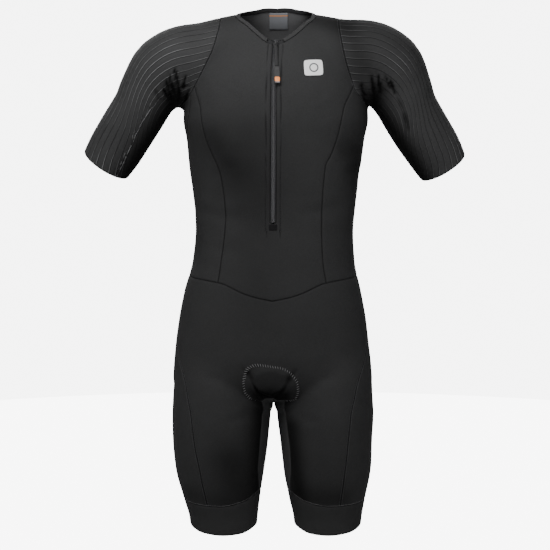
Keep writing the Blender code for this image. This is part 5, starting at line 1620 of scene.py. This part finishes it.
    def _band(self, one: Seams) -> list[Grid]:
        """Elastic band round the end of one leg, closed at the inner front seam."""
        start = one.band_meeting(INNER_FRONT_SEAM)
        angles = spread(start, start - 360, 4 * (CROTCH + 2 * GUSSET))
        share = spread(0, 1, BAND)[:, None]
        heights = band_height(angles) * (1 - share) + band_height(angles, "hem") * share
        turns = np.broadcast_to(angles, heights.shape)
        grid = self.figure.around(one.side, turns.ravel(), heights.ravel(), on_leg=True)
        grid = grid.reshape(*heights.shape, 3)
        grid[:, -1] = grid[:, 0]
        return [Grid(grid)]


# ---- binding, label and badge

@dataclass
class Surface:
    """Places on the worn cloth's outer face, folds and all."""

    figure: Figure
    relief: Relief

    def raised(self, points: Array, proud: float, seam: float = FAR) -> tuple[Array, Array]:
        """Points of the figure lifted to stand proud of the worn cloth, and their normals."""
        flat = points.reshape(-1, 3)
        outward = self.figure.normals(flat)
        height = self.relief.height(flat, outward, np.full(len(flat), seam)) + proud
        return (flat + height[:, None] * outward).reshape(points.shape), outward

    def flat_grid(self, centre: Pair, size: Pair, counts: tuple[int, int], way: float,
                  round_off: float = 0.0, tilt: float = 0.0) -> tuple[Array, Array]:
        """Grid of a small flat piece laid on the front (way -1) or the back (way 1).

        A square of u and v from -1 to 1 has its corners drawn in by round_off times (u v)^4,
        is turned by the tilt, and each point goes straight onto the figure.

        Returns:
            The grid's points on the figure, and its pattern in millimetres from its top left.
        """
        over, down = square(counts)
        pull = 1 - round_off * (over * down) ** 4
        across, up = over * pull * size[0] / 2, down * pull * size[1] / 2
        side = centre[0] + across * math.cos(tilt) - up * math.sin(tilt)
        height = centre[1] + across * math.sin(tilt) + up * math.cos(tilt)
        points = self.figure.straight(side.ravel(), height.ravel(), way).reshape(*side.shape, 3)
        return points, np.stack([across + size[0] / 2, up - size[1] / 2], axis=2)


def square(counts: tuple[int, int]) -> list[Array]:
    """Grid of a square from -1 to 1 across and from 1 to -1 downwards."""
    return np.meshgrid(np.linspace(-1, 1, counts[0]), np.linspace(1, -1, counts[1]))


@dataclass(frozen=True)
class Stitch:
    """One kind of stitch.

    Attributes:
        pitch: From one stitch to the next.
        length: Length of one stitch.
        thick: Radius of the thread.
        seam: Distance from the nearest seam, for how far the cloth is rolled in there.
        slant: Turn of each stitch out of the row's direction, in radians.
    """

    pitch: float
    length: float
    thick: float
    seam: float = FAR
    slant: float = 0.0


PAD_DASH = Stitch(4.3, 6.2, 0.46, slant=1.2)
ZIP_STITCH = Stitch(2.9, 2.3, 0.22)
BAR_STITCH = Stitch(2.2, 1.9, 0.32)
BAND_STITCH = Stitch(3.0, 2.5, 0.26, seam=2.4)
SEAM_STITCH = Stitch(3.0, 2.4, 0.22, seam=1.9)


@dataclass
class Trim:
    """Neck binding, label, badge, zip end patch, seat pad and the rows of stitching."""

    surface: Surface
    seams: dict[Side, Seams]
    binding_width: float = 6.7
    binding_wall: float = 2.0
    binding_proud: float = 0.55
    rib_pitch: float = 1.9
    rib_rise: float = 0.2
    badge_size: Pair = (32.0, 27.0)
    badge_centre: Pair = (66.0, -95.0)
    badge_tilt: float = math.radians(3.0)
    badge_proud: float = 0.55
    label_size: Pair = (33.5, 27.5)
    label_offset: float = 7.5
    label_drop: float = 0.8
    label_behind: float = 0.45
    pad_size: Pair = (84.0, 48.0)
    pad_centre: Pair = (-6.0, -627.0)
    pad_rim: float = 1.0
    pad_swell: float = 3.6
    pad_behind: float = 1.6
    patch_size: Pair = (14.0, 11.0)
    patch_proud: float = 0.75

    def build(self) -> None:
        """Make every trim."""
        self.figure = self.surface.figure
        self._binding()
        self._label()
        self._badge()
        self._end_patch()
        self._seat_pad()
        self._stitching()

    @staticmethod
    def _middle(height: float) -> float:
        """Place of the front's middle line at a height."""
        return float(FRONT_CENTRE.at("place", height))

    def _sheet(self, name: str, points: Array, pattern: Array, finish: Finish, slot: str, wall: float,
               flat: Pair) -> None:
        """Thin flat piece from a grid of raised points."""
        quads = grid_quads(*points.shape[:2])
        points = points.reshape(-1, 3)
        outward = self.figure.normals(points[quads].mean(axis=1))
        if np.einsum("ij,ij->i", facings(points, quads), outward).sum() < 0:
            quads = quads[:, ::-1]
        piece = mesh_object(name + "_sheet", points, quads, pattern.reshape(-1, 2)[quads])
        thicken(piece, wall)
        eased = piece.modifiers.new("eased edges", "BEVEL")
        eased.width = 0.3 * wall * METRE
        eased.segments = 2
        eased.limit_method = "ANGLE"
        eased.angle_limit = math.radians(50)
        dress(piece, finish, slot, name)

    def _binding(self) -> None:
        """Elastic swept round the neckline: a flattened closed section with fine ribs across.

        Lanes run beside the seam at even distances inwards. A section's point stands at
        0.5 + 0.5 cos t of the width, between the lanes, and sin t of half the wall above
        their middle; the upper side rises and falls by a cosine of the length.
        """
        left, right = self.seams[Side.LEFT], self.seams[Side.RIGHT]
        seam = join(left.neck_front[FINE:], left.neck_back, right.neck_back[::-1],
                    right.neck_front[::-1][: -FINE])
        path = self.figure.settle(evenly(seam, self.rib_pitch / 6), rounds=2)
        inward = unit(np.cross(unit(np.gradient(path, axis=0)), self.figure.normals(path)))
        lanes = np.stack([self.figure.settle(path + share * self.binding_width * inward, rounds=4)
                          for share in np.linspace(0, 1, 5)], axis=1)
        outward = self.figure.normals(lanes.reshape(-1, 3)).reshape(lanes.shape)
        outline = superellipse(18, 0.5, 0.5, 7.0)
        place = (outline[:, 0] + 0.5) * 4
        low = np.minimum(place.astype(int), 3)
        share = (place - low)[None, :, None]
        base, lift = (lane[:, low] * (1 - share) + lane[:, low + 1] * share for lane in (lanes, outward))
        length = lengths_along(path)
        rib = 0.5 + 0.5 * np.cos(2 * math.pi * length / self.rib_pitch)
        top = np.maximum(outline[:, 1], 0) * 2
        crown = 1 - 0.25 * (2 * outline[:, 0]) ** 2
        middle = self.binding_proud - self.binding_wall / 2
        height = middle + self.binding_wall * outline[None, :, 1] + self.rib_rise * rib[:, None] * top * crown
        rings = base + height[:, :, None] * lift
        points = rings.reshape(-1, 3)
        up = outline[None, :, 0] * self.binding_width
        pattern = np.stack(np.broadcast_arrays(length[:, None], up), axis=2)
        piece = mesh_object("ribbed_binding", points, outward_faces(points, tube_faces(*rings.shape[:2])))
        add_pattern(piece, pattern.reshape(-1, 2))
        dress(piece, BINDING_ELASTIC, "binding_elastic", "neck_binding")

    def _label(self) -> None:
        """Satin label inside the back of the neck, with a plain line near its top."""
        top = self.seams[Side.LEFT].neck_back[-1][2]
        centre = (self.label_offset, top - self.label_size[1] / 2 - self.label_drop)
        points, pattern = self.surface.flat_grid(centre, self.label_size, (15, 13), 1.0)
        outward = self.figure.normals(points.reshape(-1, 3)).reshape(points.shape)
        belly = 0.5 * np.sin(np.linspace(0, math.pi, len(points)))[:, None, None]
        points = points - (CLOTH_WALL + self.label_behind + belly) * outward
        self._sheet("neck_label", points, pattern, LABEL_SATIN, "label_satin", 0.5, (0.0335, 0.0275))

    def _badge(self) -> None:
        """Printed badge on the chest, with a plain ring."""
        points, pattern = self.surface.flat_grid(self.badge_centre, self.badge_size, (25, 21), -1.0,
                                                 round_off=0.09, tilt=self.badge_tilt)
        raised, _ = self.surface.raised(points, self.badge_proud)
        self._sheet("chest_badge", raised, pattern, BADGE_PRINT, "badge_print", 0.5, (0.033, 0.027))

    def _end_patch(self) -> None:
        """Cloth patch over the lower end of the zip."""
        centre = (self._middle(ZIP_BOTTOM), ZIP_BOTTOM - ZIP_SLIT_POINT - self.patch_size[1] / 2)
        points, pattern = self.surface.flat_grid(centre, self.patch_size, (15, 12), -1.0, round_off=0.06)
        raised, _ = self.surface.raised(points, self.patch_proud)
        self._sheet("zip_end_patch", raised, pattern, PATCH_WEAVE, "zip_fabric", 0.7, (0.014, 0.011))

    def _seat_pad(self) -> None:
        """Oval foam pad on the inner face of the front, thick in the middle and thin at its rim."""
        counts = (43, 27)
        points, pattern = self.surface.flat_grid(self.pad_centre, self.pad_size, counts, -1.0, 0.2)
        raised, outward = self.surface.raised(points, -self.pad_behind)
        front = raised.reshape(-1, 3)
        over, down = square(counts)
        inward = (1 - np.maximum(np.abs(over), np.abs(down))).ravel()
        wall = self.pad_rim + self.pad_swell * smooth_step(inward / 0.45)
        index = np.arange(len(front)).reshape(over.shape)
        quads = grid_quads(*over.shape)
        rim = join(index[0], index[:, -1], index[-1, ::-1], index[::-1, 0])
        after = np.roll(rim, -1)
        sides = np.stack([rim, after, after + len(front), rim + len(front)], axis=1)[rim != after]
        body = np.vstack([front, front - wall[:, None] * outward])
        faces = np.vstack([quads[:, ::-1], quads + len(front), sides]).tolist()
        piece = mesh_object("foam_pad", body, outward_faces(body, faces))
        add_pattern(piece, np.vstack([pattern.reshape(-1, 2)] * 2))
        dress(piece, PAD_FOAM, "pad_foam", "seat_pad")

    def _row(self, line: Array, stitch: Stitch, aside: float = 0.0) -> Body:
        """Row of thread capsules at a distance to the side of a line on the figure."""
        places = evenly(line, stitch.pitch)
        across = unit(np.cross(unit(np.gradient(places, axis=0)), self.figure.normals(places)))
        places = self.figure.settle(places + aside * across, rounds=3)
        raised, outward = self.surface.raised(places, 0.35 * stitch.thick, stitch.seam)
        centres, outward = (raised[1:] + raised[:-1]) / 2, unit(outward[1:] + outward[:-1])
        along = unit(raised[1:] - raised[:-1])
        aslant = math.sin(stitch.slant) * unit(np.cross(along, outward))
        along = math.cos(stitch.slant) * along + aslant
        radii = stitch.thick * np.array([0.25, 0.75, 1, 1, 0.75, 0.25])
        stations = upright(np.array([-1, -0.86, -0.45, 0.45, 0.86, 1]) * stitch.length / 2)
        body = lofted(stations, radii, radii, 2.0, 6)
        return scattered(body, centres, unit(np.cross(along, outward)), outward, along)

    def _stitching(self) -> None:
        """Pad outline, topstitching beside the zip, and the light rows at seams."""
        lengths = lengths_along(PAD_LINE)
        at = np.linspace(0, lengths[-1], 120)
        outline = self.figure.straight(*(through(lengths, PAD_LINE[:, axis], at) for axis in range(2)), -1.0)
        self._thread("pad_stitches", THREAD_GREY, self._row(outline, PAD_DASH))
        heights = spread(-60, ZIP_BOTTOM - BAR_BELOW + 1, ZIP)
        zip_rows = [self._row(self.figure.front_line(heights, side.sign * STITCH_ASIDE), ZIP_STITCH)
                    for side in Side]
        bar_height = ZIP_BOTTOM - BAR_BELOW
        bar_across = self._middle(bar_height) + np.linspace(-14, 14, 12)
        bar = self.figure.straight(bar_across, np.full(12, bar_height), -1.0)
        self._thread("zip_topstitches", THREAD_DARK, *zip_rows, self._row(bar, BAR_STITCH))
        bands, rows = [], []
        for side, one in self.seams.items():
            start = one.band_meeting(INNER_FRONT_SEAM)
            angles = np.linspace(start, start - 360, 200)
            band = self.figure.around(side, angles, band_height(angles) + BAND_STITCH.seam, on_leg=True)
            bands.append(self._row(band, BAND_STITCH))
            rows += [self._row(line, SEAM_STITCH, way * SEAM_STITCH.seam)
                     for line in (one.outer, one.armhole) for way in (-1, 1)]
        self._thread("band_stitches", THREAD_GREY, *bands)
        self._thread("seam_stitches", THREAD_DULL, *rows)

    @staticmethod
    def _thread(name: str, finish: Finish, *rows: Body) -> None:
        """Rows of stitches as one piece."""
        dress(mesh_object(name, *together(*rows)), finish, "binding_elastic")


# ---- zip and its puller

@dataclass
class HalfZip:
    """Interlocked coil, tapes, slider, and the pull tab on its hinge."""

    surface: Surface
    chain_half: float = 4.1
    tooth_pitch: float = 1.3
    tape_half: float = 15.0
    tape_top: float = -46.0
    chain_top: float = -47.0
    slider_height: float = -56.0
    slider_length: float = 11.0
    slider_plate: float = 2.2
    lug_rise: float = 2.2
    tongue_length: float = 44.0
    tongue_width: float = 6.0
    tongue_wall: float = 1.6
    grip_length: float = 32.0
    grip_width: float = 10.6
    grip_wall: float = 4.0
    inlay_width: float = 8.4
    inlay_length: float = 8.8
    inlay_wall: float = 0.8
    inlay_from_end: float = 6.6
    tab_sway: float = math.radians(2.5)
    tab_rest: float = 0.6
    gap: float = 0.3

    def build(self) -> None:
        """Make the zip."""
        self.figure = self.surface.figure
        self.seat = self.figure.front_line(np.array([self.slider_height]))[0]
        facing = self.figure.normals(self.seat[None])[0]
        self.lean = math.atan2(facing[2], -facing[1])
        self._chain()
        self._tapes()
        self._slider()
        out = self.slider_plate + self.lug_rise
        self.hinge = self.seat + out * np.array([0, -math.cos(self.lean), math.sin(self.lean)])
        self.tab_lean = self._rest_lean()
        self._tongue()
        self._grip()

    def _chain(self) -> None:
        """Two rows of coil turns that reach past each other, on a thin cord strip.

        A turn is a flattened bar across the chain, thick at its outer end and drawn out
        to a thinner head in the middle; the rows stand half a pitch apart.
        """
        heights = np.linspace(self.chain_top, ZIP_BOTTOM + 0.5, 400)
        line = evenly(self.figure.front_line(heights), self.tooth_pitch)
        outward = self.figure.normals(line)
        along = unit(np.gradient(line, axis=0))
        across = unit(np.cross(along, outward))
        reach = np.array([-0.9, -0.75, -0.2, 0.8, 2.0, 3.2, 3.9, 4.05])
        half_height = np.array([0.2, 0.46, 0.56, 0.46, 0.42, 0.42, 0.36, 0.15])
        half_out = np.array([0.2, 0.6, 0.75, 0.62, 0.6, 0.62, 0.5, 0.2])
        points, faces = lofted(upright(reach), half_height, half_out, 2.6, 8)
        points = points[:, [2, 1, 0]] + np.array([0, -0.75, 0])
        turn = points, outward_faces(points, faces)
        shift = 0.25 * self.tooth_pitch * along
        rows = [scattered(turn, line + way * shift, way * across, outward, way * along) for way in (-1, 1)]
        piece = mesh_object("zip_coil", *together(*rows, self._cord(heights, 1.5, 0.9)))
        dress(piece, COIL_NYLON, "zip_nylon", "zip_chain")

    def _cord(self, heights: Array, depth: float, wall: float) -> Body:
        """Closed thin strip behind the coil, as wide as the chain."""
        lanes = [self.figure.front_line(heights, beside) for beside in (-self.chain_half, self.chain_half)]
        normals = [self.figure.normals(lane) for lane in lanes]
        ring = [lanes[side] - below * normals[side]
                for side, below in ((0, depth), (1, depth), (1, depth + wall), (0, depth + wall))]
        points = np.stack(ring, axis=1).reshape(-1, 3)
        return points, outward_faces(points, tube_faces(len(heights), 4))

    def _tapes(self) -> None:
        """Woven tapes behind the front, from the chain outwards."""
        heights = np.linspace(self.tape_top, ZIP_BOTTOM + ZIP_SLIT_POINT, 120)
        for side in Side:
            points = np.stack([self.figure.front_line(heights, side.sign * beside)
                               for beside in np.linspace(self.chain_half + 0.4, self.tape_half, 6)], axis=1)
            down = (heights - heights[0])[:, None]
            pattern = np.stack(np.broadcast_arrays(np.linspace(0, 10.5, 6), down), axis=2)
            quads = grid_quads(*points.shape[:2])[:, ::-1 if side is Side.LEFT else 1]
            points = points.reshape(-1, 3)
            points = points - (CLOTH_WALL + 0.75) * self.figure.normals(points)
            piece = mesh_object("woven_tape_" + side.value, points, quads, pattern.reshape(-1, 2)[quads])
            thicken(piece, 0.7)
            dress(piece, TAPE_WEAVE, "zip_fabric", "zip_tape_" + side.value)

    def _hard(self, name: str, finish: Finish, slot: str, *nodes: str, bodies: Sequence[Body],
              on_tab: bool = True) -> None:
        """Hard piece made as (across, out, up) on the slider, or on the tab, which sways a little."""
        points, faces = together(*bodies)
        if on_tab:
            points[:, 0] += np.maximum(0, -points[:, 2] - 2.6) * math.tan(self.tab_sway)
        across, out, up = points.T
        lean, origin = (self.tab_lean, self.hinge) if on_tab else (self.lean, self.seat)
        depth = up * math.sin(lean) - out * math.cos(lean)
        height = out * math.sin(lean) + up * math.cos(lean)
        placed = np.stack([across, depth, height], axis=1) + origin
        dress(mesh_object(name, placed, outward_faces(placed, faces)), finish, slot, *nodes,
              body="pull_tab" if on_tab else "suit")

    def _slider(self) -> None:
        """Waisted slider body with side rails and the bridge that the tab hangs on."""
        half = 0.62 * self.slider_length
        up = np.array([-1, -0.97, -0.85, -0.55, -0.2, 0.15, 0.45, 0.75, 0.93, 1.0]) * half
        widths = np.array([1.9, 2.8, 3.2, 3.4, 3.8, 4.3, 4.5, 4.2, 3.6, 2.2])
        depths = np.array([0.3, 0.75, 0.98, 1.1, 1.12, 1.14, 1.12, 1.0, 0.75, 0.3])
        plate = lofted(upright(up, 1.1), widths, depths, 4.0, 36)
        turn = np.linspace(-0.1, math.pi + 0.1, 22)
        out = self.slider_plate - 0.5 + 3.4 * np.clip(np.sin(turn), -0.1, 1) ** 0.8
        arch = along_path(upright(-3.7 * np.cos(turn), out), 0.75, 10)
        rails = [along_path(upright(up * 0.93, 2.05, way * widths * 0.86)[1:-1], 0.35) for way in (-1, 1)]
        self._hard("zip_slider_body", SLIDER_PAINT, "zip_metal", "zip_slider", bodies=(plate, arch, *rails),
                   on_tab=False)

    def _rest_lean(self) -> float:
        """Lean at which the tab hangs from its hinge and just clears the chest."""
        reach = self.tongue_length + self.grip_length
        away = self.figure.front_line(self.hinge[2] - np.linspace(0.3 * reach, reach, 21)) - self.hinge
        turn = np.arctan2(-away[:, 1], -away[:, 2])
        distance = np.hypot(away[:, 1], away[:, 2])
        return float(np.max(turn + np.arcsin((self.grip_wall / 2 + self.tab_rest) / distance)))

    def _tongue(self) -> None:
        """Flat woven tongue, folded round its ring at the top."""
        up = -np.concatenate([[2.2, 2.3, 2.7, 3.6], np.linspace(5, self.tongue_length - 0.1, 24)])
        widths = np.concatenate([[0.9, 1.6, 2.1, 2.45], np.full(24, self.tongue_width / 2)])
        widths[6:] += 0.06 * np.cos(np.arange(22) * 2.1)
        depths = np.concatenate([[0.3, 0.7, 0.9, 0.85], np.full(24, self.tongue_wall / 2)])
        strap = lofted(upright(up), widths, depths, 4.0, 28)
        turn = np.linspace(0, 2 * math.pi, 28, endpoint=False)
        ring = along_path(upright(-0.9 + 2.5 * np.sin(turn), across=1.9 * np.cos(turn)), 0.55, closed=True)
        self._hard("pull_tongue", TONGUE_WEAVE, "tab_cord", "zip_tab", bodies=(strap, ring))

    def _grip(self) -> None:
        """Moulded grip with a slight waist and cross ridges, its orange inlay and the rim below it."""
        top = -self.tongue_length - self.gap
        length, half, wall = self.grip_length, self.grip_width / 2, self.grip_wall / 2
        share = np.array([0, 0.006, 0.02, 0.045, 0.08, 0.13, 0.2, 0.28, 0.36, 0.44,
                          0.52, 0.6, 0.68, 0.76, 0.84, 0.9, 0.94, 0.97, 0.99, 1.0])
        shape = np.array([0.5, 0.66, 0.76, 0.83, 0.9, 0.95, 0.97, 0.965, 0.955, 0.95,
                          0.955, 0.965, 0.98, 0.99, 1.0, 0.99, 0.95, 0.87, 0.78, 0.64])
        thick = np.concatenate([[0.35, 0.7, 0.88, 0.96], np.ones(12), [0.96, 0.86, 0.68, 0.35]])
        bodies = [lofted(upright(top - share * length), half * shape, wall * thick, 4.5, 40)]
        across = np.linspace(-0.74, 0.74, 9) * half
        for place in (0.2, 0.27, 0.34, 0.41, 0.48):
            ridge = upright(np.full(9, top - place * length), wall - 0.16, across)
            bodies.append(along_path(ridge, 0.34 * np.array([0.4, 0.8, 1, 1, 1, 1, 1, 0.8, 0.4])))
        self._hard("pull_grip", GRIP_RUBBER, "grip_rubber", "zip_grip", bodies=bodies)
        middle = top - length + self.inlay_from_end
        out = wall + self.gap + self.inlay_wall / 2 - 0.35
        half_width, half_length = self.inlay_width / 2, self.inlay_length / 2
        inlay = self._tile(middle, half_width, half_length, out, self.inlay_wall / 2 + 0.35)
        self._hard("pull_inlay", INLAY_ORANGE, "inlay_orange", "zip_inlay", bodies=[inlay])
        rim = self._tile(middle - half_length - 0.9, half_width - 0.1, 0.55, wall + 0.1, 0.35)
        self._hard("pull_rim", RIM_SILVER, "zip_metal", bodies=[rim])

    @staticmethod
    def _tile(middle: float, half_width: float, half_length: float, out: float, half_wall: float) -> Body:
        """Rounded tile: superellipse sections stacked outwards, drawn in at both faces."""
        levels = np.array([-1, -0.9, -0.6, 0.5, 0.8, 0.95, 1.0])
        scale = np.array([0.93, 0.97, 1.0, 1.0, 0.985, 0.96, 0.9])
        points, faces = lofted(upright(levels), half_width * scale, half_length * scale, 5.0, 40)
        return np.stack([points[:, 0], out + half_wall * points[:, 2], middle + points[:, 1]], axis=1), faces


# ---- studio

@dataclass
class Studio:
    """Pale floor, soft light from above and before, and the camera."""

    distance: float = 2.6
    target: tuple[float, float, float] = (0.0009, 0.0, -0.453)
    elevation: float = math.radians(4.0)
    lens: float = 96.15
    floor_height: float = -0.96
    dome_strength: float = 0.62
    dome_from: tuple[float, float, float] = (-0.32, -0.62, 0.72)
    key_power: float = 59.0
    top_power: float = 4.0
    fill_power: float = 7.0
    back_power: float = 26.0
    surround: float = 8.0

    def build(self) -> None:
        """Make the studio."""
        self._camera()
        self._world()
        self._floor()
        self._lamp("key", (-0.45, -1.6, 1.35), (0.0, 0.0, -0.25), (1.3, 0.9), self.key_power)
        self._lamp("top", (0.1, -0.35, 1.3), (0.0, 0.0, -0.1), (1.6, 0.7), self.top_power)
        self._lamp("fill", (1.2, -1.7, -0.6), (0.1, 0.0, -0.6), (1.0, 1.0), self.fill_power)
        for side in Side:
            place = (side.sign, 2.2, 0.9)
            self._lamp("back " + side.value, place, (0.0, 0.0, -0.4), (1.2, 1.2), self.back_power)

    @staticmethod
    def _aimed(name: str, data: bpy.types.ID, place: Vector, aim: Vector) -> Piece:
        """Camera or lamp at a place, turned towards another."""
        made = bpy.data.objects.new(name, data)
        made.location = place
        made.rotation_euler = (aim - place).to_track_quat("-Z", "Y").to_euler()
        bpy.context.scene.collection.objects.link(made)
        return made

    def _camera(self) -> None:
        """Camera at the front, a little above the middle of the suit."""
        data = bpy.data.cameras.new("camera")
        data.lens = self.lens
        data.sensor_width = 36.0
        target = Vector(self.target)
        away = Vector((0, -math.cos(self.elevation), math.sin(self.elevation)))
        bpy.context.scene.camera = self._aimed("camera", data, target + self.distance * away, target)

    def _world(self) -> None:
        """White surround to the eye, and a soft dome, bright from above, before and the left."""
        world = bpy.data.worlds.new("studio")
        world.use_nodes = True
        tree = world.node_tree
        tree.nodes.clear()
        output, place, toward, ramp, dome, seen = (tree.nodes.new("ShaderNode" + kind) for kind in (
            "OutputWorld", "TexCoord", "VectorMath", "MapRange", "Background", "Background"))
        toward.operation = "DOT_PRODUCT"
        toward.inputs[1].default_value = Vector(self.dome_from).normalized()
        ramp.interpolation_type = "SMOOTHSTEP"
        for number, value in enumerate((-0.35, 1.0, 0.03, 1.0), start=1):
            ramp.inputs[number].default_value = value
        dome.inputs["Strength"].default_value = self.dome_strength
        seen.inputs["Strength"].default_value = self.surround
        tree.links.new(place.outputs["Generated"], toward.inputs[0])
        tree.links.new(toward.outputs["Value"], ramp.inputs[0])
        tree.links.new(ramp.outputs[0], dome.inputs["Color"])
        self._seen_apart(tree, dome, seen, output)
        bpy.context.scene.world = world

    @staticmethod
    def _seen_apart(tree: bpy.types.NodeTree, lit: bpy.types.Node, seen: bpy.types.Node,
                    output: bpy.types.Node) -> None:
        """One shader for light that falls on things and another for what the eye sees."""
        path, mix = tree.nodes.new("ShaderNodeLightPath"), tree.nodes.new("ShaderNodeMixShader")
        for socket, place in ((path.outputs["Is Camera Ray"], 0), (lit.outputs[0], 1), (seen.outputs[0], 2)):
            tree.links.new(socket, mix.inputs[place])
        tree.links.new(mix.outputs[0], output.inputs["Surface"])

    def _floor(self) -> None:
        """Pale floor below the suit, as white to the eye as the surround."""
        count = 96
        turn = np.linspace(0, 2 * math.pi, count, endpoint=False)
        level = np.full(count, self.floor_height)
        rings = [np.stack([radius * np.cos(turn), radius * np.sin(turn), level], axis=1)
                 for radius in (0.6, 2.0)]
        index = np.arange(count)
        after = np.roll(index, -1)
        faces = [index.tolist()] + np.stack([count + index, count + after, after, index], axis=1).tolist()
        floor = mesh_object("floor", np.vstack(rings) / METRE, faces)
        graph = Graph("pale floor")
        graph.set(Base_Color=(0.4, 0.4, 0.4), Roughness=0.9, Specular_IOR_Level=0.1)
        seen = graph.tree.nodes.new("ShaderNodeEmission")
        seen.inputs["Strength"].default_value = self.surround
        self._seen_apart(graph.tree, graph.shader, seen, graph.tree.nodes["Material Output"])
        floor.data.materials.append(graph.material)

    def _lamp(self, name: str, place: Sequence[float], aim: Sequence[float], size: Sequence[float],
              power: float) -> None:
        """Soft rectangular lamp aimed at a place."""
        data = bpy.data.lights.new(name, "AREA")
        data.shape = "RECTANGLE"
        data.size, data.size_y = size
        data.energy = power
        self._aimed(name, data, Vector(place), Vector(aim))


def main() -> None:
    """Build the studio and the suit, piece by piece."""
    logging.basicConfig(level=logging.INFO, format="%(name)s: %(message)s")
    Studio().build()
    figure, relief = Figure(), Relief()
    seams = {side: Seams(figure, side) for side in Side}
    log.info("seams laid out")
    surface = Surface(figure, relief)
    Garment(figure, seams, relief).build()
    Trim(surface, seams).build()
    HalfZip(surface).build()


if __name__ == "__main__":
    main()
